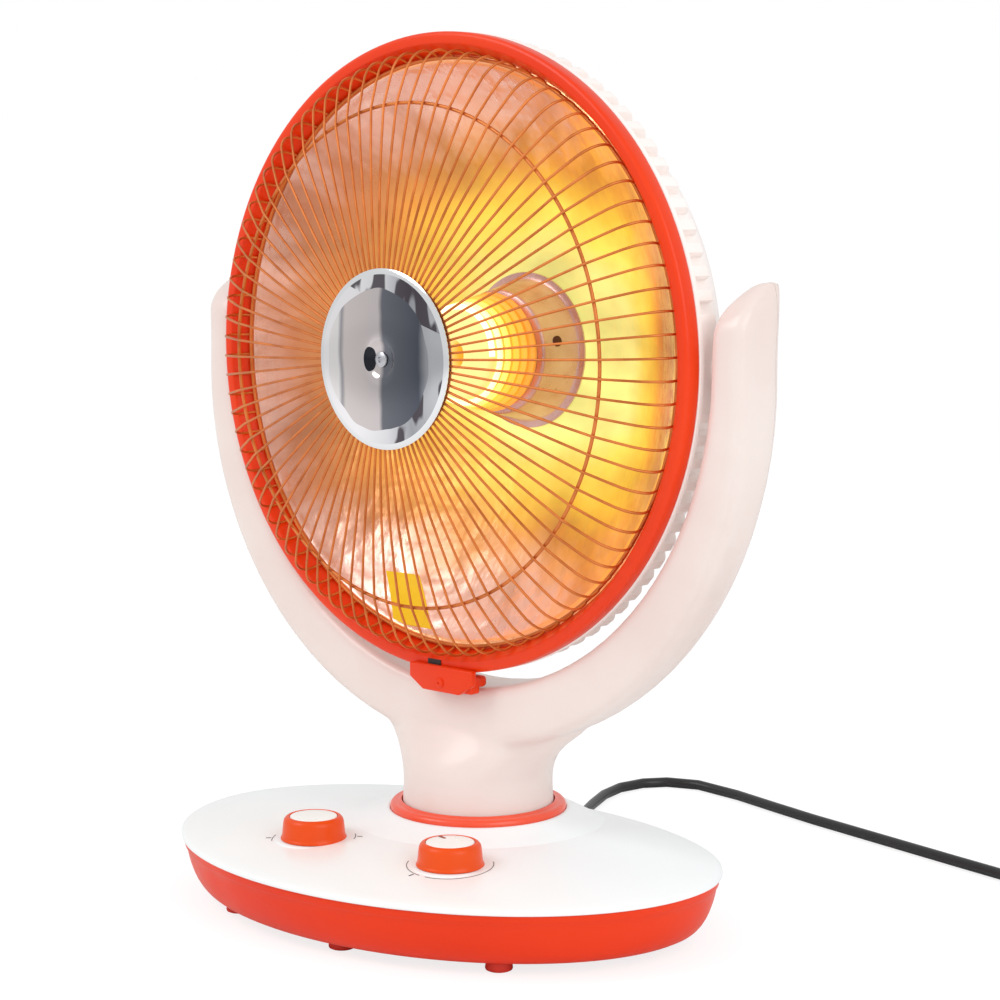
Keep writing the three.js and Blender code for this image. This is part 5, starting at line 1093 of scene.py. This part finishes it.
guard = join(*wires, hoop("rim_hoop", 166, 25.7, 1.1), hoop("hub_hoop", 44, 73.9, 1.2))
guard.name = "guard_wires"
finish_piece(guard, "head", guard_copper, "copper_wire", "wire_guard", smooth=70)
support = hoop("guard_hoop", 140.3, 58, 1.0)
finish_piece(
    support, "head", guard_copper, "copper_wire", "guard_support_ring", smooth=70)

# %% [markdown]
# ### The cap
# A shallow chromed dome with a dimple and a screw closes the guard, and a plain plate backs it
# behind the wires' inner ends.

# %% Turn the cap, its screw and the plate behind it
CAP_BACK = 75.6
cap_profile = [(2.5, CAP_BACK), (49, CAP_BACK), (49.8, CAP_BACK + 0.2), (50, CAP_BACK + 0.7),
               (49.4, CAP_BACK + 1.1), (47.6, CAP_BACK + 1.35), (46.4, CAP_BACK + 1.7),
               (38, CAP_BACK + 2.6), (28, CAP_BACK + 3.2), (18, CAP_BACK + 3.4), (12, CAP_BACK + 3.4),
               (10.6, CAP_BACK + 3.2), (9.2, CAP_BACK + 2.3), (7.6, CAP_BACK + 1.8),
               (2.5, CAP_BACK + 1.8)]
cap = turned("cap", cap_profile, 128)
finish_piece(cap, "head", chrome, "chrome", "guard_cap", smooth=50)
screw = turned("cap_screw", [(0, 70), (2.2, 70), (2.2, 77.5), (4.4, 77.7), (4.2, 78.4), (3, 79),
                             (1.6, 79.2), (1.2, 78.2), (0, 78)], 32)
finish_piece(screw, "head", zinc, "steel", "guard_cap_screw")
backing = turned("cap_backing", [(2.5, 70.8), (46.6, 70.8), (47.8, 71.2), (48, 72.2), (2.5, 72.2)], 96)
finish_piece(backing, "head", hot_cup, "steel", "guard_back_plate")

# %% [markdown]
# ## The ring's clip
# A small orange block closes the ring at its lowest point: a chamfered plate in front with a
# screw, a step and a rounded heel behind it. A thin dark plate on the ring above it paints the shade of
# a small notch.

# %% Shape the clip
CLIP_X = 7.5
clip_outline = [(-24.5, -176.2), (-24.5, -184.5), (-14.1, -191), (14.1, -191), (24.5, -184.5),
                (24.5, -176.2)]
clip = swept("clip", [[(CLIP_X + x, y, s) for x, y in clip_outline] for s in (35.5, 40)])
round_edges(clip, 1.0, 3)
step = block("clip_step", (CLIP_X - 20.5, -190.6, 28.4), (CLIP_X + 20.5, -181, 36))
round_edges(step, 1.2, 3)
heel = block("clip_heel", (CLIP_X - 20.5, -187.4, 22), (CLIP_X + 20.5, -181, 29))
round_edges(heel, 2.2, 4)
clip = join(clip, step, heel)
finish_piece(clip, "head", ring_orange, "orange_plastic", "ring_clip")
# A thin dark plate on the ring's face: painted shade of a notch above the clip.
notch_shade = block("clip_notch", (-6, -178.6, 35.3), (4, -173.4, 35.9))
round_edges(notch_shade, 0.25, 2)
finish_piece(notch_shade, "head", inner_black, "dark_plastic")
clip_screw = turned("clip_screw", [(0, 39.6), (2.8, 39.6), (2.8, 40.6), (2, 41.4), (0.8, 41.5),
                                   (0.6, 40.8), (0, 40.7)], 28)
finish_piece(clip_screw, "head", ring_orange, "steel", "ring_clip_screw",
             place=ON_HEAD @ Matrix.Translation((CLIP_X * MM, -185.5 * MM, 0)))

# %% [markdown]
# ## The heating element
# A ceramic cone stands on a metal cup in the middle of the dish. Both are turned. A small dark
# red screw sits in the cup's sloping side.

# %% Turn the cup and the ceramic core
CUP_FOOT = dish(45.7) + 0.9
cup = turned("cup", [
    (26.3, -17.7), (34.4, -17.7), (39.6, CUP_FOOT), (45.2, CUP_FOOT), (45.7, CUP_FOOT + 0.5),
    (45.5, CUP_FOOT + 1.3), (42, CUP_FOOT + 1.5), (41, CUP_FOOT + 2.2), (36.4, -18.6), (35.8, -17),
    (34.8, -16.3), (26.3, -16.3)], 96)
finish_piece(cup, "head", hot_cup, "cup_metal", "element_cup", smooth=45)

CUP_SCREW_TURN = math.radians(11)
CUP_SLOPE = math.atan2(41 - 35.8, 42.5 - 16.3)
cup_screw = turned("cup_screw", [(0, 0.2), (3.1, 0.2), (3.1, 1.2), (2.4, 1.6), (0, 1.7)], 24)
cup_screw_place = (
    ON_HEAD @ Matrix.Rotation(CUP_SCREW_TURN, 4, "Z") @ Matrix.Translation((37.3 * MM, 0, -26.5 * MM))
    @ Matrix.Rotation(math.pi / 2 - CUP_SLOPE, 4, "Y"))
finish_piece(cup_screw, "head", deep_red, "steel", place=cup_screw_place)


def cone(height):
    return 31.8 + (24.4 - 31.8) * (height + 16) / 36


core = turned("core", [
    (9, -22.3), (26, -22.3), (26, -16), (31.2, -16), (cone(-15.4), -15.4), (cone(19.4), 19.4),
    (23.2, 21), (21.4, 22), (10, 22), (9, 21.4)], 96)
finish_piece(core, "head", hot_ceramic, "ceramic", "ceramic_core", smooth=45)
print("cup foot at", round(CUP_FOOT, 1), "mm")

# %% [markdown]
# ### The winding
# The glowing wire is one tube swept along the CAD's own helix, five and a half turns down the
# cone.

# %% Wind the glowing wire
WINDING_TURNS = 5.5
WINDING_PITCH = 5.5
WINDING_RADIUS = 1.7
winding_points = []
for i in range(round(WINDING_TURNS * 36) + 1):
    turn = i / 36
    height = 20 - 1.2 - WINDING_RADIUS - turn * WINDING_PITCH
    reach = cone(height) + 0.3 + WINDING_RADIUS
    winding_points.append(Vector((
        reach * math.cos(turn * math.tau), reach * math.sin(turn * math.tau), height)))


def tube_rings(points, radius, sides):
    """Rings that follow a path without twisting."""
    rings = []
    normal = Vector((0, 0, 1))
    for i, point in enumerate(points):
        heading = (points[min(i + 1, len(points) - 1)] - points[max(i - 1, 0)]).normalized()
        normal = (normal - heading * normal.dot(heading)).normalized()
        side = heading.cross(normal)
        rings.append([
            tuple(point + radius * (normal * math.cos(math.tau * k / sides)
                                    + side * math.sin(math.tau * k / sides)))
            for k in range(sides)])
    return rings


winding = swept("winding", tube_rings(winding_points, WINDING_RADIUS, 10))
finish_piece(winding, "head", hot_wire, "glowing_wire", "heating_coil", smooth=80)

# %% [markdown]
# ## The plug
# The plug is a moulded body that swells from the cord, flat on top and below, with two round
# pins. It lies beside the coil, in line with the cord's end.

# %% Shape the plug and its pins
plug_start = coil_points[-1] + coil_heading * 0.3
PLUG_PLACE = Matrix.Translation(plug_start * MM) @ Matrix.Rotation(
    math.atan2(coil_heading.y, coil_heading.x), 4, "Z")


def plug_ring(x, half_width, half_height, square):
    points = []
    for i in range(40):
        t = math.tau * i / 40
        c, s = math.cos(t), math.sin(t)
        points.append((x, half_width * math.copysign(abs(c) ** square, c),
                       half_height * math.copysign(abs(s) ** square, s)))
    return points


plug_rows = [(0, 3.6, 3.6, 1), (5, 3.9, 3.9, 1), (12, 4.4, 4.4, 1), (20, 4.9, 4.9, 1), (26, 5.4, 5.4, 1),
             (28, 7.4, 7.2, 0.9), (31, 10, 9.2, 0.75), (35, 12.6, 10.3, 0.65), (39, 13.8, 10.8, 0.6),
             (44, 14, 10.8, 0.6), (56, 14, 10.8, 0.6), (59, 13.8, 10.6, 0.6), (60, 13, 9.8, 0.6)]
plug = swept("plug_shell", [plug_ring(*row) for row in plug_rows])
finish_piece(plug, "base", plug_black, "black_rubber", "plug_body", place=PLUG_PLACE, smooth=50)
for name, side in (("left", 1), ("right", -1)):
    pin = turned(f"pin_{name}", [(0, 60.3), (2, 60.3), (2, 77.6), (1.6, 78.8), (0.8, 79.3),
                                 (0, 79.3)], 32)
    lie = PLUG_PLACE @ Matrix.Translation((0, side * 9.5 * MM, 0)) @ Matrix.Rotation(math.pi / 2, 4, "Y")
    finish_piece(pin, "base", brass, "brass", f"plug_pin_{name}", place=lie)

# %% [markdown]
# ### The cord's finish
# The cord stands for the CAD's two cord nodes.

mains_cord.data.materials.append(cord_black)
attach(mains_cord, "base")
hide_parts("cord", "cord_coil")

# %% [markdown]
# ## The blank patch in the dish
# A small plain yellow patch lies on the dish near its lower edge. It follows the parabola: a
# grid is dropped on to the dish and given a sheet's thickness.

# %% Lay the patch on the dish
PATCH_CORNERS = [(-45, -159), (-18, -160), (-44, -133), (-66, -132)]
start_clean()
bpy.ops.mesh.primitive_grid_add(x_subdivisions=10, y_subdivisions=12, size=1)
patch = bpy.context.object
patch.name = "plain_patch"
for vert in patch.data.vertices:
    u, v = vert.co.x + 0.5, vert.co.y + 0.5
    shares = ((1 - u) * (1 - v), u * (1 - v), u * v, (1 - u) * v)
    x, y = [sum(share * corner[k] for share, corner in zip(shares, PATCH_CORNERS)) for k in (0, 1)]
    vert.co = Vector((x, y, dish(math.hypot(x, y)) + 0.15)) * MM
modify(patch, "SOLIDIFY", thickness=0.25 * MM, offset=1)
finish_piece(patch, "head", patch_yellow, "white_plastic")

# %% [markdown]
# ## Pieces that keep their CAD shape
# What is inside the base and behind the dish already has its true shape, so it only gets a
# material: steel for screws, shafts and rods, black plastic for switch bodies.

# %% Paint the CAD nodes that stay
KEPT = {
    zinc: ["ballast_plate", "oscillation_motor", "timer_shaft", "mode_shaft", "disc_screw_1",
           "disc_screw_2", "element_bracket", "tie_rod_lower", "tie_rod_upper", "pivot_bolt_left",
           "pivot_bolt_right", "case_screw_1", "case_screw_2", "case_screw_3", "case_screw_4"],
    inner_black: ["timer_body", "mode_body", "tip_switch_body", "bearing_sleeve", "swivel_disc"],
    cap_white: ["motor_pinion", "tip_plunger"],
    hot_ceramic: ["element_insulator"],
    brass: ["element_terminal_left", "element_terminal_right"],
}
for material, names in KEPT.items():
    for name in names:
        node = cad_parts[name]
        node.data.materials.clear()
        node.data.materials.append(material)
print("kept nodes", sum(len(names) for names in KEPT.values()))

# %% [markdown]
# ## The floor
# The floor is a wide pale plane that shows as white to the camera and still takes the heater's
# soft shadow. To other rays it is a plain light grey.

# %% Lay the floor
FLOOR_GREY = 0.9
FLOOR_SEEN = 0.8
FLOOR_SHADE = 0.28


def seen_by_camera(tree, plain, seen, surface):
    """The camera sees one shader and all other rays meet the plain one."""
    light_path = tree.nodes.new("ShaderNodeLightPath")
    mix = tree.nodes.new("ShaderNodeMixShader")
    tree.links.new(light_path.outputs["Is Camera Ray"], mix.inputs["Fac"])
    tree.links.new(plain.outputs[0], mix.inputs[1])
    tree.links.new(seen.outputs[0], mix.inputs[2])
    tree.links.new(mix.outputs[0], surface)


start_clean()
bpy.ops.mesh.primitive_plane_add(size=30)
floor = bpy.context.object
floor.name = "floor"
floor_material = bpy.data.materials.new("floor_white")
floor_material.use_nodes = True
tree = floor_material.node_tree
shader = tree.nodes["Principled BSDF"]
shader.inputs["Base Color"].default_value = linear(FLOOR_GREY)
shader.inputs["Roughness"].default_value = 0.9
shader.inputs["Specular IOR Level"].default_value = 0
lit = tree.nodes.new("ShaderNodeEmission")
lit.inputs["Strength"].default_value = FLOOR_SEEN
faint = tree.nodes.new("ShaderNodeBsdfDiffuse")
faint.inputs["Color"].default_value = linear(FLOOR_SHADE)
seen = tree.nodes.new("ShaderNodeAddShader")
tree.links.new(lit.outputs[0], seen.inputs[0])
tree.links.new(faint.outputs[0], seen.inputs[1])
seen_by_camera(tree, shader, seen, tree.nodes["Material Output"].inputs["Surface"])
floor.data.materials.append(floor_material)
print("floor", round(floor.dimensions.x), "m wide")

# %% [markdown]
# ## Light and background
# The world is a plain white studio that shows as pure white behind the heater. Two large lamps
# shape the plastic.

# %% Light the studio
STUDIO_LIGHT = 0.76
world = bpy.data.worlds.new("studio")
bpy.context.scene.world = world
world.use_nodes = True
tree = world.node_tree
background = tree.nodes["Background"]
background.inputs["Color"].default_value = (1, 1, 1, 1)
background.inputs["Strength"].default_value = STUDIO_LIGHT
seen = tree.nodes.new("ShaderNodeBackground")
seen.inputs["Color"].default_value = (1, 1, 1, 1)
seen.inputs["Strength"].default_value = 1.0
seen_by_camera(tree, background, seen, tree.nodes["World Output"].inputs["Surface"])


def lamp(name, place, aim, size, power):
    start_clean()
    place, aim = Vector(place), Vector(aim)
    bpy.ops.object.light_add(type="AREA", location=place,
                             rotation=(aim - place).to_track_quat("-Z", "Y").to_euler())
    light = bpy.context.object
    light.name = name
    light.data.shape = "DISK"
    light.data.size = size
    light.data.energy = power


lamp("key", (-1.2, -1.6, 1.9), (0, 0, 0.2), 1.4, 18)
lamp("fill", (1.9, -0.6, 1.2), (0, 0, 0.2), 1.6, 13)

bpy.context.scene.view_settings.view_transform = "Standard"
